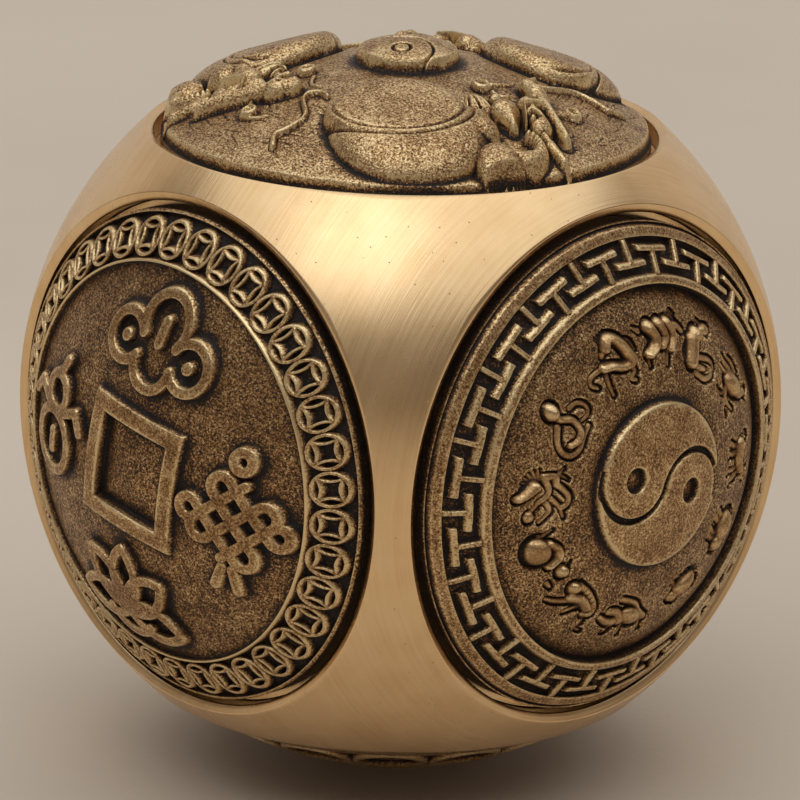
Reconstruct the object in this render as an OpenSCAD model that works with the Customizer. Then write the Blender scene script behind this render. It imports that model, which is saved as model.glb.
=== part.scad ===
// Brass fidget ball: one turned ball with a pocket on each of its six faces, and in each pocket a cast
// medallion that spins on a small ball bearing.
// The origin is the centre of the ball. The coin medallion faces -Y, the zodiac medallion +X and the beast
// medallion +Z. The ball stands on the flat boss of the medallion that faces -Z.

/* [Ball] */
// Diameter of the solid brass ball
ball_d = 48; // [45:0.5:60]
// Narrowest strip of ball left between two neighbouring pockets
bridge_w = 2.1; // [1.2:0.1:4]
// Width of the flat land turned round each pocket
land_w = 0.53; // [0.3:0.01:0.9]
// How far that land slopes down towards the pocket
land_drop = 0.21; // [0.05:0.01:0.4]
// Depth of a pocket below its land
pocket_depth = 1.3; // [1.1:0.05:1.5]
// Depth of the relief hole behind a bearing
bearing_relief = 1; // [0.5:0.1:2]

/* [Medallions] */
// Gap all round between a medallion and its pocket
disc_gap = 0.42; // [0.2:0.02:0.7]
// Height of a medallion's edge above the land round it
disc_proud = 0.45; // [0.1:0.05:0.9]
// Gap between a medallion's back and the floor of its pocket
disc_back_gap = 0.25; // [0.15:0.05:0.4]
// Radius to which the medallions' faces are domed
dome_r = 25.3; // [23:0.1:32]
// Thickness of a cast face over its hollow back
cast_wall = 2.4; // [1.6:0.1:3]
// Width of the solid rim round the hollow back
cast_rim_w = 2; // [1:0.1:3]
// Radius of the solid hub in the middle of the back
hub_r = 5; // [4:0.1:6]

/* [Bearings] */
// Outside diameter of a bearing
bearing_d = 12.7; // [12:0.1:14]
// Bore of a bearing
bearing_bore = 6.35; // [5.5:0.05:6.8]
// Width of a bearing
bearing_w = 4.762; // [4.2:0.05:6]
// Diameter of one of a bearing's balls
bearing_ball_d = 1.588; // [1.3:0.01:1.7]
// Number of balls in a bearing
bearing_balls = 10; // [7:1:11]
// Thickness of the inner and outer rings behind their grooves
race_wall = 0.78; // [0.6:0.01:0.9]
// Height of a ring's shoulder above the bottom of its groove
shoulder_h = 0.28; // [0.15:0.01:0.35]
// Thickness of a sheet shield
shield_t = 0.2; // [0.1:0.05:0.3]
// Depth of a shield below the bearing's face
shield_sink = 0.15; // [0.05:0.05:0.4]
// Height of the bearing's top face below the pocket floor
bearing_sink = 0.1; // [0:0.05:0.3]
// Chamfer on the rings and on the spindle's foot
bearing_chamfer = 0.2; // [0.05:0.05:0.3]

/* [Spindles] */
// Radius of the shank pressed into a medallion's hub
shank_r = 2.2; // [1.5:0.1:2.8]
// Length of that shank
shank_l = 3.2; // [2:0.1:3.8]
// Radius of the collar between a medallion and its bearing
collar_r = 3.9; // [3.6:0.05:4.1]
// How far a spindle stops short of its bearing's lower face
spindle_short = 0.3; // [0.1:0.1:1]

/* [Fits] */
// Radial interference of a pressed joint
press = 0.01; // [0.005:0.005:0.02]
// Running clearance between a ball and its grooves
race_gap = 0.015; // [0.01:0.005:0.03]
// Clearance round a ball in its cage and between cage and rings
cage_gap = 0.06; // [0.03:0.01:0.12]
// Gap between a shield and the inner ring
shield_gap = 0.15; // [0.08:0.01:0.25]

/* [Coin medallion] */
// Number of old coins round the edge
coin_count = 38; // [24:1:44]
// Radius of the circle on which the coins lie
coin_ring_r = 13.75; // [13:0.05:13.9]
// Width of a coin's raised lines
coin_line = 0.2; // [0.12:0.01:0.3]
// Width of the raised line inside the coins
coin_bead_w = 0.17; // [0.1:0.01:0.4]
// Width of the raised rim at a medallion's edge
rim_w = 0.2; // [0.1:0.01:0.5]
// Outer side of the square frame
frame_side = 7.9; // [6:0.1:9]
// Width of the square frame's band
frame_band = 1.15; // [0.6:0.05:1.8]
// Turn of the frame and the ornaments, clockwise
coin_turn = 10; // [0:1:45]
// Distance of each ornament from the middle
ornament_r = 8.2; // [7.8:0.1:8.6]
// Width of an ornament's strokes
stroke_w = 0.75; // [0.4:0.05:1]

/* [Zodiac medallion] */
// Number of repeats in the fret band
fret_count = 20; // [12:1:28]
// Width of the flat border outside the fret band
fret_border_w = 0.85; // [0.6:0.05:1.2]
// Width of the fret band
fret_band_w = 2.05; // [1.6:0.05:2.6]
// Width of the raised ring inside the fret band
fret_ring_w = 0.55; // [0.3:0.05:1]
// Width of a fret's bar and stem
fret_line = 0.35; // [0.2:0.01:0.45]
// Space between a fret's bar and the edge that it faces
fret_gap = 0.46; // [0.3:0.01:0.6]
// Radius of the yin-yang disc
taiji_r = 5.1; // [4:0.1:6]
// Radius of its two eyes
taiji_eye_r = 0.77; // [0.5:0.01:1.2]
// Width of the wave between its two halves
taiji_line = 0.32; // [0.2:0.01:0.6]
// Turn of the yin-yang disc, clockwise
taiji_turn = 18.6; // [0:0.1:90]
// Width of the moat round the yin-yang disc
taiji_moat = 0.9; // [0.4:0.05:1.2]
// Radius of the circle on which the animals stand
zodiac_r = 8.65; // [8.3:0.05:9]

/* [Beast medallion] */
// Radius to which the ground under the beasts is domed
beast_dome_r = 30.5; // [28:0.5:40]
// Radius of the raised button in the middle
button_r = 3.3; // [2.5:0.1:4]
// Height of that button
button_h = 1.4; // [0.7:0.05:1.5]
// Height of a beast's body above the ground
beast_h = 1.3; // [0.8:0.05:1.6]

/* [Hidden medallions] */
// Number of petals in each row of the lotus medallion
petal_count = 8; // [5:1:12]
// Radius of the seed pod in the middle of the lotus
lotus_eye_r = 4; // [3:0.1:6]
// Number of beads round the lotus medallion
bead_count = 60; // [36:1:72]
// Length of a trigram's bars
trigram_l = 3.4; // [2.5:0.1:4]
// Width of a trigram's bars and of the spaces between them
trigram_bar = 0.6; // [0.4:0.05:0.7]
// Number of cloud scallops round the standing medallion
scallop_count = 16; // [10:1:22]
// Radius of the flat boss that the ball stands on
boss_r = 4.8; // [3:0.1:6]
// Height of that boss above the domed face
boss_h = 0.14; // [0.1:0.01:0.6]

/* [Relief] */
// Depth of the sunk bands below the polished lands
band_depth = 0.45; // [0.2:0.05:0.8]
// Depth of the sanded fields below the polished lands
field_depth = 0.4; // [0.2:0.05:0.8]
// Depth of the moats and recesses below the polished lands
moat_depth = 0.7; // [0.3:0.05:1]
// Height of figures and ornaments above the polished lands
figure_h = 0.1; // [0.05:0.05:0.4]

/* [Hidden] */
$fn = 72;

// Turns that take a face drawn upwards, along +Z, to its place on the ball
FRONT = [90, 0, 0];
RIGHT = [90, 0, 90];
BACK = [90, 0, 180];
LEFT = [90, 0, -90];
TOP = [0, 0, 45];
BOTTOM = [180, 0, 0];
FACES = [FRONT, RIGHT, BACK, LEFT, TOP, BOTTOM];

// Colours
BRASS = [0.80, 0.62, 0.36];
ANTIQUE = [0.42, 0.32, 0.16];
STEEL = [0.72, 0.73, 0.75];
CAGE_STEEL = [0.60, 0.58, 0.52];

// A cut runs past what it cuts by this much
past = 1;

// Pocket: its mouth on the sphere, its land and its floor
ball_r = ball_d / 2;
mouth_angle = 45 - bridge_w / ball_r * 90 / PI;
mouth_r = ball_r * sin(mouth_angle);
mouth_z = ball_r * cos(mouth_angle);
pocket_r = mouth_r - land_w;
land_z = mouth_z - land_drop;
floor_z = land_z - pocket_depth;

// Medallion: its edge, its back and the dome of its face
disc_r = pocket_r - disc_gap;
disc_edge_z = land_z + disc_proud;
disc_back_z = floor_z + disc_back_gap;
dome_z = disc_edge_z - sqrt(dome_r * dome_r - disc_r * disc_r);
dome_top_z = dome_z + dome_r;
beast_dome_z = disc_edge_z - sqrt(beast_dome_r * beast_dome_r - disc_r * disc_r);

// Bearing
bearing_r = bearing_d / 2;
bore_r = bearing_bore / 2;
bearing_top_z = floor_z - bearing_sink;
bearing_mid_z = bearing_top_z - bearing_w / 2;
bearing_low_z = bearing_top_z - bearing_w;
pitch_r = (bearing_r + bore_r) / 2;
small_ball_r = bearing_ball_d / 2;
groove_r = small_ball_r + race_gap;
inner_land_r = bore_r + race_wall + shoulder_h;
outer_land_r = bearing_r - race_wall - shoulder_h;
shield_r = outer_land_r + shoulder_h;
cage_in_r = inner_land_r + cage_gap * 3;
cage_out_r = outer_land_r - cage_gap * 3;
cage_low = small_ball_r + cage_gap * 4;
cage_high = small_ball_r / 3;

// Coin medallion
coin_pitch = 360 / coin_count;
coin_space = 0.03;
coin_r = coin_ring_r * sin(coin_pitch / 2) - coin_space / 2;
coin_phase = 6.2;
coin_side = sqrt(2) * (coin_r - coin_line / 2);
coin_bead_r = coin_ring_r - coin_r - coin_line / 2;
coin_channel_r = disc_r - rim_w;

// Zodiac medallion
fret_out_r = disc_r - fret_border_w;
fret_in_r = fret_out_r - fret_band_w;
fret_ring_in_r = fret_in_r - fret_ring_w;
fret_pitch = 360 / fret_count;
fret_bar_share = 0.58;
fret_outer_phase = 17;
fret_inner_phase = 8;
border_line_w = 0.1;
border_groove_w = 0.14;
border_groove_depth = 0.25;
zodiac_moat = 0.8;
zodiac_phase = 146.7;
zodiac_pitch = 30;
wave_depth = 0.3;

// Width of the knobs at a stroke's ends over the width of the stroke
knob = 1.12;

// How deep a small piece stood on the dome reaches into the casting
foot_depth = band_depth + 0.4;

// A relief drawn flat is swept from below the face to above it
sweep_z = disc_back_z + cast_wall / 2;
sweep_h = 12;

// Parts of a medallion

// Everything under a face's dome, raised or sunk by level. A tilt moves the sphere's pole off the face
module under_dome(level, radius = dome_r, centre_z = dome_z, tilt = 0) {
    translate([0, 0, centre_z])
        rotate([tilt, 0, 0])
            sphere(r = radius + level);
}

// The slab from a medallion's back upwards, inside its edge
module slab() {
    translate([0, 0, disc_back_z])
        cylinder(r = disc_r, h = sweep_h);
}

// A band between two radii, or a round plate where in_r is 0
module band(in_r, out_r) {
    if (in_r > 0)
        tube(in_r, out_r);
    else
        post(out_r);
}

// What is cut away to sink a band of the face by depth
module sunk_band(in_r, out_r, depth) {
    difference() {
        band(in_r, out_r);
        under_dome(-depth);
    }
}

// A flat drawing swept through the face
module sweep() {
    translate([0, 0, sweep_z])
        linear_extrude(sweep_h)
            children();
}

// Swept pieces cut off at the face's dome
module raised(level) {
    intersection() {
        union()
            children();
        under_dome(level);
    }
}

// Small pieces stood square on the dome at a distance from its middle, their feet sunk in the casting
module stood(distance, level) {
    translate([0, 0, dome_z])
        rotate([0, asin(distance / dome_r), 0])
            translate([0, 0, dome_r + level - foot_depth])
                linear_extrude(foot_depth)
                    children();
}

// The hollow cast in a medallion's back, and the hole for its spindle
module back_hollow(radius = dome_r, centre_z = dome_z) {
    intersection() {
        translate([0, 0, disc_back_z - past])
            difference() {
                cylinder(r = disc_r - cast_rim_w, h = sweep_h);
                cylinder(r = hub_r, h = sweep_h);
            }
        under_dome(-cast_wall, radius, centre_z);
    }
    translate([0, 0, disc_back_z - past])
        cylinder(r = shank_r - press, h = shank_l + past);
}

// A plain domed medallion with its back finished. The first child is cut from its face, the others
// are raised on it
module medallion() {
    difference() {
        union() {
            difference() {
                intersection() {
                    slab();
                    under_dome(0);
                }
                children(0);
            }
            children([1 : $children - 1]);
        }
        back_hollow();
    }
}

// Strokes, drawn from above and swept through the face

module post(radius) {
    translate([0, 0, sweep_z])
        cylinder(r = radius, h = sweep_h);
}

module tube(in_r, out_r) {
    translate([0, 0, sweep_z])
        difference() {
            cylinder(r = out_r, h = sweep_h);
            translate([0, 0, -past])
                cylinder(r = in_r, h = sweep_h + 2 * past);
        }
}

module block(size) {
    translate([0, 0, sweep_z + sweep_h / 2])
        cube([size.x, size.y, sweep_h], center = true);
}

module frame(side, band) {
    difference() {
        block([side, side]);
        translate([0, 0, -past])
            linear_extrude(sweep_z + sweep_h + 2 * past)
                square(side - 2 * band, center = true);
    }
}

// A straight stroke with a slight knob at each end
module stroke(from, to, width = stroke_w) {
    run = to - from;
    translate((from + to) / 2)
        rotate(atan2(run.y, run.x))
            block([norm(run), width]);
    for (end = [from, to])
        translate(end)
            post(width / 2 * knob);
}

// A stroke along a ring
module hoop(centre, radius, width = stroke_w) {
    translate(centre)
        tube(radius - width / 2, radius + width / 2);
}

// A stroke along an arc, with a slight knob at each end unless it joins others there
module bow(centre, radius, start, end, width = stroke_w, knobs = true) {
    steps = ceil((end - start) / 60);
    reach = 3 * radius;
    translate(centre) {
        intersection() {
            tube(radius - width / 2, radius + width / 2);
            sweep()
                polygon(concat(
                    [[0, 0]],
                    [for (i = [0 : steps]) reach * dir(start + (end - start) * i / steps)]
                ));
        }
        if (knobs)
            for (angle = [start, end])
                translate(radius * dir(angle))
                    post(width / 2 * knob);
    }
}

function dir(angle) = [cos(angle), sin(angle)];

// A copy on each side of the upright axis
module both_sides() {
    children();
    mirror([1, 0, 0])
        children();
}

// Coin medallion, on the face towards -Y

// An old coin with a square hole, in raised lines
module coin_2d() {
    difference() {
        circle(r = coin_r);
        circle(r = coin_r - coin_line);
    }
    difference() {
        square(coin_side, center = true);
        square(coin_side - 2 * coin_line, center = true);
    }
}

// Cloud head with two scrolls
module cloud() {
    bow([0, 1.35], 1.75, -35, 215, knobs = false);
    both_sides() {
        bow([2.75, -0.4], 1.45, -150, 152);
        translate([2.75, -0.4])
            post(stroke_w * 0.6);
    }
    bow([0, -1.2], 1.5, 195, 345, knobs = false);
    stroke([0, 0.1], [0, 1.5]);
}

// Endless knot with a hanging loop and a tassel
module knot() {
    reach = 2.1;
    step = 1.45;
    rotate(45) {
        for (s = [-step, 0, step]) {
            stroke([s, -reach], [s, reach]);
            stroke([-reach, s], [reach, s]);
        }
        for (turn = [0, 180])
            rotate(turn) {
                bow([step / 2, reach], step / 2, 0, 180, knobs = false);
                bow([reach, -step / 2], step / 2, -90, 90, knobs = false);
                bow([-reach, reach], reach - step, 0, 270, knobs = false);
            }
    }
    hoop([0, 3.95], 0.6);
    both_sides()
        stroke([0.35, -3.1], [0.75, -4.4]);
}

// Lotus flower with five open petals on a cup
module lotus() {
    half_l = 2.2;
    half_w = 1.05;
    petal_gap = 46;
    radius = (half_l * half_l + half_w * half_w) / (2 * half_w);
    spread = asin(half_l / radius);
    for (i = [-2 : 2])
        translate([0, -1.5])
            rotate(i * petal_gap)
                both_sides()
                    bow([half_w - radius, half_l], radius, -spread, spread);
    bow([0, -0.9], 2.2, 215, 325);
}

// Bottle gourd with a stem and a ribbon round its waist
module gourd() {
    hoop([0, 1.6], 1.15);
    hoop([0, -1.6], 1.95);
    stroke([0, 2.8], [0.5, 3.9]);
    both_sides() {
        stroke([0.6, 0.4], [2.5, 1.3]);
        stroke([2.5, 1.3], [3.2, 0.3]);
    }
    stroke([0, -2.2], [0, -1]);
}

module coin_medallion() {
    medallion() {
        union() {
            sunk_band(coin_bead_r, coin_channel_r, band_depth);
            sunk_band(0, coin_bead_r - coin_bead_w, field_depth);
            rotate(-coin_turn)
                difference() {
                    block([frame_side, frame_side]);
                    under_dome(-moat_depth, tilt = 90);
                }
        }
        for (i = [0 : coin_count - 1])
            rotate(coin_phase + i * coin_pitch)
                stood(coin_ring_r, 0)
                    coin_2d();
        raised(0)
            rotate(-coin_turn)
                frame(frame_side, frame_band);
        raised(figure_h)
            rotate(-coin_turn) {
                translate([0, ornament_r, 0])
                    cloud();
                translate([ornament_r, 0, 0])
                    knot();
                translate([0, -ornament_r, 0])
                    lotus();
                translate([-ornament_r, 0, 0])
                    gourd();
            }
    }
}

// Zodiac medallion, on the face towards +X

// A T with its stem rooted at root_r, and its bar short of edge_r by the fret gap
module fret(root_r, edge_r) {
    root_depth = 0.1;
    way = sign(edge_r - root_r);
    bar_r = edge_r - way * (fret_gap + fret_line / 2);
    bar_l = bar_r * fret_pitch * PI / 180 * fret_bar_share;
    stem_l = abs(bar_r - root_r) + root_depth;
    translate([bar_r, 0, 0])
        block([fret_line, bar_l]);
    translate([bar_r - way * stem_l / 2, 0, 0])
        block([stem_l, fret_line]);
}

// The wave between the halves of the yin-yang disc, and the two eyes
module wave_and_eyes() {
    for (side = [-1, 1])
        translate([side * taiji_r / 2, 0, 0]) {
            intersection() {
                tube((taiji_r - taiji_line) / 2, (taiji_r + taiji_line) / 2);
                translate([0, side * taiji_r, 0])
                    block([2 * taiji_r, 2 * taiji_r]);
            }
            post(taiji_eye_r);
        }
}

// A four-legged animal facing +X, its feet towards the middle of the medallion
module animal(body_l, body_h, neck, head_r, tail) {
    leg_w = 0.42;
    foot_y = -1.6;
    stroke([-body_l / 2, 0], [body_l / 2, 0], body_h);
    for (x = [-body_l / 2, -body_l / 4, body_l / 4, body_l / 2])
        stroke([x, 0], [x, foot_y + leg_w / 2], leg_w);
    stroke([body_l / 2, 0], neck, body_h * 0.7);
    translate(neck)
        post(head_r);
    stroke([-body_l / 2, 0], tail, leg_w);
}

// A two-legged bird facing +X
module bird() {
    post(0.95);
    stroke([0.4, 0.3], [0.9, 1.3], 0.6);
    stroke([0.9, 1.3], [1.45, 1.2], 0.3);
    stroke([-0.5, 0.2], [-1.4, 1], 0.7);
    stroke([0.1, -0.5], [0.1, -1.6], 0.4);
}

// A coiled snake, or a dragon with claws on the same coil
module coil(claws) {
    bow([0, -0.5], 0.85, -60, 240, 0.6);
    bow([-0.2, 0.85], 0.6, -100, 150, 0.55);
    if (claws)
        both_sides()
            stroke([0.8, -0.5], [1.5, -1.3], 0.4);
}

// The animals, counted clockwise from the snake
module zodiac_sign(place) {
    if (place == 0)
        coil(false);
    if (place == 1)
        animal(1.7, 0.8, [1.35, 1.1], 0.42, [-1.5, -0.7]);
    if (place == 2)
        animal(1.5, 0.85, [1.25, 0.9], 0.45, [-1.1, 0.4]);
    if (place == 3)
        animal(0.9, 0.9, [0.7, 1], 0.5, [-1.1, 0.7]);
    if (place == 4)
        bird();
    if (place == 5)
        animal(1.5, 0.7, [1.2, 0.8], 0.42, [-1.3, 0.8]);
    if (place == 6)
        animal(1.5, 1.1, [1.3, 0.1], 0.6, [-1.3, 0.3]);
    if (place == 7)
        animal(1.3, 0.8, [1.2, 0.1], 0.36, [-1.6, -0.4]);
    if (place == 8)
        animal(1.7, 1, [1.5, 0.5], 0.5, [-1.5, -0.5]);
    if (place == 9)
        animal(1.7, 0.9, [1.4, 0.5], 0.55, [-1.6, 0.9]);
    if (place == 10)
        animal(1, 1, [0.9, 0.6], 0.45, [-0.8, 0.3]);
    if (place == 11)
        coil(true);
}

module zodiac_medallion() {
    line_in_r = disc_r - border_line_w;
    field_out_r = fret_ring_in_r - zodiac_moat;
    medallion() {
        union() {
            sunk_band(line_in_r - border_groove_w, line_in_r, border_groove_depth);
            sunk_band(fret_in_r, fret_out_r, band_depth);
            sunk_band(field_out_r, fret_ring_in_r, moat_depth);
            sunk_band(taiji_r + taiji_moat, field_out_r, field_depth);
            sunk_band(taiji_r, taiji_r + taiji_moat, moat_depth);
            difference() {
                rotate(-taiji_turn)
                    wave_and_eyes();
                under_dome(-wave_depth);
            }
        }
        for (i = [0 : fret_count - 1]) {
            raised(0)
                rotate(fret_outer_phase + i * fret_pitch)
                    fret(fret_out_r, fret_in_r);
            raised(0)
                rotate(fret_inner_phase + i * fret_pitch)
                    fret(fret_in_r, fret_out_r);
        }
        for (i = [0 : 11])
            raised(figure_h)
                rotate(zodiac_phase - i * zodiac_pitch - 90)
                    translate([0, zodiac_r, 0])
                        zodiac_sign(i);
    }
}

// Beast medallion, on the face towards +Z

// A smooth swelling over the beasts' ground, round in plan
module swelling(place, radius, height) {
    ball = (radius * radius + height * height) / (2 * height);
    ground = sqrt(beast_dome_r * beast_dome_r - place.x * place.x - place.y * place.y);
    way = [place.x, place.y, ground] / beast_dome_r;
    translate([0, 0, beast_dome_z])
        translate(way * (beast_dome_r + height - ball))
            sphere(r = ball);
}

// The big round back of a beast, with a bulging band under it and two round lumps beside it
module haunch() {
    swelling([0.1, -9.9], 4.85, beast_h * 0.8);
    swelling([-0.4, -9.2], 3.8, beast_h);
    swelling([4.75, -10.5], 1.1, beast_h * 0.85);
    swelling([5.5, -12.3], 1.5, beast_h * 0.75);
    swelling([4.3, -7.4], 0.9, beast_h * 0.6);
}

// A beast's long head, which points to the middle: muzzle, neck, cheek, jaw and horn, and the paw
// before it
module beast_head() {
    swelling([8, -4.6], 0.95, beast_h * 0.8);
    swelling([8.6, -6.3], 1.1, beast_h * 0.75);
    swelling([9.4, -8.2], 0.9, beast_h * 0.65);
    swelling([6.4, -8.4], 1.3, beast_h * 0.8);
    swelling([7.5, -11.8], 1.2, beast_h * 0.7);
    swelling([9.3, -10.7], 0.65, beast_h * 0.45);
    swelling([10.1, -5.2], 0.6, beast_h * 0.35);
}

// The round button in the middle: a low wall with a crowned top
module button() {
    crown = 1.3;
    intersection() {
        translate([0, 0, beast_dome_z])
            cylinder(r = button_r, h = beast_dome_r + 2 * button_h);
        swelling([0, 0], button_r * crown, button_h);
    }
}

module beast_medallion() {
    difference() {
        intersection() {
            slab();
            union() {
                under_dome(0, beast_dome_r, beast_dome_z);
                for (turn = [0, 120, 240])
                    rotate(turn) {
                        haunch();
                        beast_head();
                    }
                button();
            }
        }
        back_hollow(beast_dome_r, beast_dome_z);
    }
}

// Lotus medallion, on the face towards +Y

// A pointed petal that lies along +X
module petal(from_r, to_r, half_w) {
    half_l = (to_r - from_r) / 2;
    radius = (half_l * half_l + half_w * half_w) / (2 * half_w);
    translate([(from_r + to_r) / 2, 0, 0])
        intersection() {
            translate([0, radius - half_w, 0])
                post(radius);
            translate([0, half_w - radius, 0])
                post(radius);
        }
}

module lotus_medallion() {
    field_r = disc_r - fret_border_w - 2 * rim_w;
    bead_ring_r = (field_r + disc_r - rim_w) / 2;
    bead_r = (disc_r - rim_w - field_r) / 3;
    petal_from_r = lotus_eye_r - past;
    outer_petal_w = 4.8;
    inner_petal_w = 3.8;
    inner_petal_short = 3;
    seed_r = 0.5;
    seed_ring_r = 0.6 * lotus_eye_r;
    medallion() {
        union() {
            sunk_band(0, field_r, moat_depth);
            sunk_band(field_r, disc_r - rim_w, band_depth);
        }
        for (i = [0 : bead_count - 1])
            rotate(i * 360 / bead_count)
                stood(bead_ring_r, 0)
                    circle(r = bead_r);
        for (i = [0 : petal_count - 1]) {
            raised(-field_depth)
                rotate((i + 0.5) * 360 / petal_count)
                    petal(petal_from_r, field_r - rim_w, outer_petal_w / 2);
            raised(-field_depth / 2)
                rotate(i * 360 / petal_count)
                    petal(petal_from_r, field_r - inner_petal_short, inner_petal_w / 2);
        }
        difference() {
            raised(0)
                post(lotus_eye_r);
            for (i = [0 : 5])
                rotate(i * 60)
                    translate([seed_ring_r, 0, 0])
                        difference() {
                            post(seed_r);
                            under_dome(-field_depth);
                        }
        }
    }
}

// Trigram medallion, on the face towards -X

// Three bars, each whole or broken as the three binary digits of code say
module trigram(code) {
    gap_w = 1.2 * trigram_bar;
    for (i = [0 : 2])
        translate([2 * (i - 1) * trigram_bar, 0, 0])
            difference() {
                block([trigram_bar, trigram_l]);
                if (floor(code / pow(2, i)) % 2 == 0)
                    translate([0, 0, -past])
                        linear_extrude(sweep_z + sweep_h + 2 * past)
                            square(gap_w, center = true);
            }
}

// The eight trigrams in their traditional round order, clockwise from the top
TRIGRAM_CODES = [7, 3, 2, 1, 0, 4, 5, 6];

module trigram_medallion() {
    blossom_r = 1.25;
    blossom_ring_r = 1.6 * blossom_r;
    stud_r = fret_band_w / 3;
    medallion() {
        union() {
            sunk_band(fret_in_r, fret_out_r, band_depth);
            sunk_band(taiji_r, fret_ring_in_r, field_depth);
            sunk_band(0, taiji_r - taiji_moat / 2, field_depth);
        }
        for (i = [0 : fret_count - 1])
            rotate((i + 0.5) * fret_pitch)
                stood((fret_in_r + fret_out_r) / 2, 0)
                    circle(r = stud_r);
        for (i = [0 : 7])
            raised(figure_h)
                rotate(90 - i * 45)
                    translate([(taiji_r + fret_ring_in_r) / 2, 0, 0])
                        trigram(TRIGRAM_CODES[i]);
        for (i = [0 : 4])
            raised(figure_h)
                rotate(90 + i * 72)
                    translate([blossom_ring_r, 0, 0])
                        post(blossom_r);
        raised(figure_h)
            post(blossom_r);
    }
}

// Standing medallion, on the face towards -Z

module standing_medallion() {
    scallop_r = fret_ring_in_r * sin(180 / scallop_count) + coin_line / 4;
    medallion() {
        union() {
            sunk_band(boss_r + taiji_moat, fret_out_r, field_depth);
            sunk_band(boss_r, boss_r + taiji_moat, moat_depth);
        }
        for (i = [0 : scallop_count - 1])
            raised(0)
                rotate(i * 360 / scallop_count)
                    translate([fret_ring_in_r, 0, 0])
                        tube(scallop_r - 2 * coin_line, scallop_r);
        translate([0, 0, sweep_z])
            cylinder(r = boss_r, h = dome_top_z + boss_h - sweep_z);
    }
}

module front_disc() color(ANTIQUE) rotate(FRONT) coin_medallion();
module right_disc() color(ANTIQUE) rotate(RIGHT) zodiac_medallion();
module top_disc() color(ANTIQUE) rotate(TOP) beast_medallion();
module back_disc() color(ANTIQUE) rotate(BACK) lotus_medallion();
module left_disc() color(ANTIQUE) rotate(LEFT) trigram_medallion();
module bottom_disc() color(ANTIQUE) rotate(BOTTOM) standing_medallion();

// Ball

// What is turned out of the ball on one face: the land, the pocket, the bearing's seat and the relief
// hole behind it
module pocket_cut() {
    land_slope = land_drop / land_w;
    rotate_extrude()
        polygon([
            [0, bearing_low_z - bearing_relief],
            [outer_land_r, bearing_low_z - bearing_relief],
            [outer_land_r, bearing_low_z],
            [bearing_r - press, bearing_low_z],
            [bearing_r - press, floor_z],
            [pocket_r, floor_z],
            [pocket_r, land_z],
            [mouth_r + past, mouth_z + past * land_slope],
            [mouth_r + past, ball_r + past],
            [0, ball_r + past]
        ]);
}

module body() {
    color(BRASS)
        difference() {
            sphere(r = ball_r);
            for (face = FACES)
                rotate(face)
                    pocket_cut();
        }
}

// Spindle: a shank pressed into the medallion, a collar that spaces it, and a journal pressed into the
// bearing
module spindle() {
    foot_z = bearing_low_z + spindle_short;
    journal_r = bore_r + press;
    color(STEEL)
        rotate_extrude()
            polygon([
                [0, foot_z],
                [journal_r - bearing_chamfer, foot_z],
                [journal_r, foot_z + bearing_chamfer],
                [journal_r, bearing_top_z],
                [collar_r, bearing_top_z],
                [collar_r, disc_back_z],
                [shank_r, disc_back_z],
                [shank_r, disc_back_z + shank_l - bearing_chamfer],
                [shank_r - bearing_chamfer, disc_back_z + shank_l],
                [0, disc_back_z + shank_l]
            ]);
}

// Bearing

module groove_2d() {
    translate([pitch_r, bearing_mid_z])
        circle(r = groove_r);
}

module inner_ring() {
    color(STEEL)
        rotate_extrude()
            difference() {
                polygon([
                    [bore_r, bearing_low_z + bearing_chamfer],
                    [bore_r + bearing_chamfer, bearing_low_z],
                    [inner_land_r, bearing_low_z],
                    [inner_land_r, bearing_top_z],
                    [bore_r + bearing_chamfer, bearing_top_z],
                    [bore_r, bearing_top_z - bearing_chamfer]
                ]);
                groove_2d();
            }
}

module outer_ring() {
    seat = shield_sink + shield_t;
    color(STEEL)
        rotate_extrude()
            difference() {
                polygon([
                    [shield_r, bearing_low_z],
                    [bearing_r - bearing_chamfer, bearing_low_z],
                    [bearing_r, bearing_low_z + bearing_chamfer],
                    [bearing_r, bearing_top_z - bearing_chamfer],
                    [bearing_r - bearing_chamfer, bearing_top_z],
                    [shield_r, bearing_top_z],
                    [shield_r, bearing_top_z - seat],
                    [outer_land_r, bearing_top_z - seat],
                    [outer_land_r, bearing_low_z + seat],
                    [shield_r, bearing_low_z + seat]
                ]);
                groove_2d();
            }
}

module balls() {
    color(STEEL)
        for (i = [0 : bearing_balls - 1])
            rotate(i * 360 / bearing_balls)
                translate([pitch_r, 0, bearing_mid_z])
                    sphere(r = small_ball_r);
}

// Crown cage: a ring with an open pocket for each ball
module cage() {
    color(CAGE_STEEL)
        difference() {
            rotate_extrude()
                translate([cage_in_r, bearing_mid_z - cage_low])
                    square([cage_out_r - cage_in_r, cage_low + cage_high]);
            for (i = [0 : bearing_balls - 1])
                rotate(i * 360 / bearing_balls)
                    translate([pitch_r, 0, bearing_mid_z])
                        sphere(r = small_ball_r + cage_gap);
        }
}

// Two sheet rings pressed into the outer ring's steps
module shields() {
    shield_in_r = inner_land_r + shield_gap;
    color(STEEL)
        for (z = [bearing_top_z - shield_sink - shield_t, bearing_low_z + shield_sink])
            translate([0, 0, z])
                rotate_extrude()
                    translate([shield_in_r, 0])
                        square([shield_r + press - shield_in_r, shield_t]);
}

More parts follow.
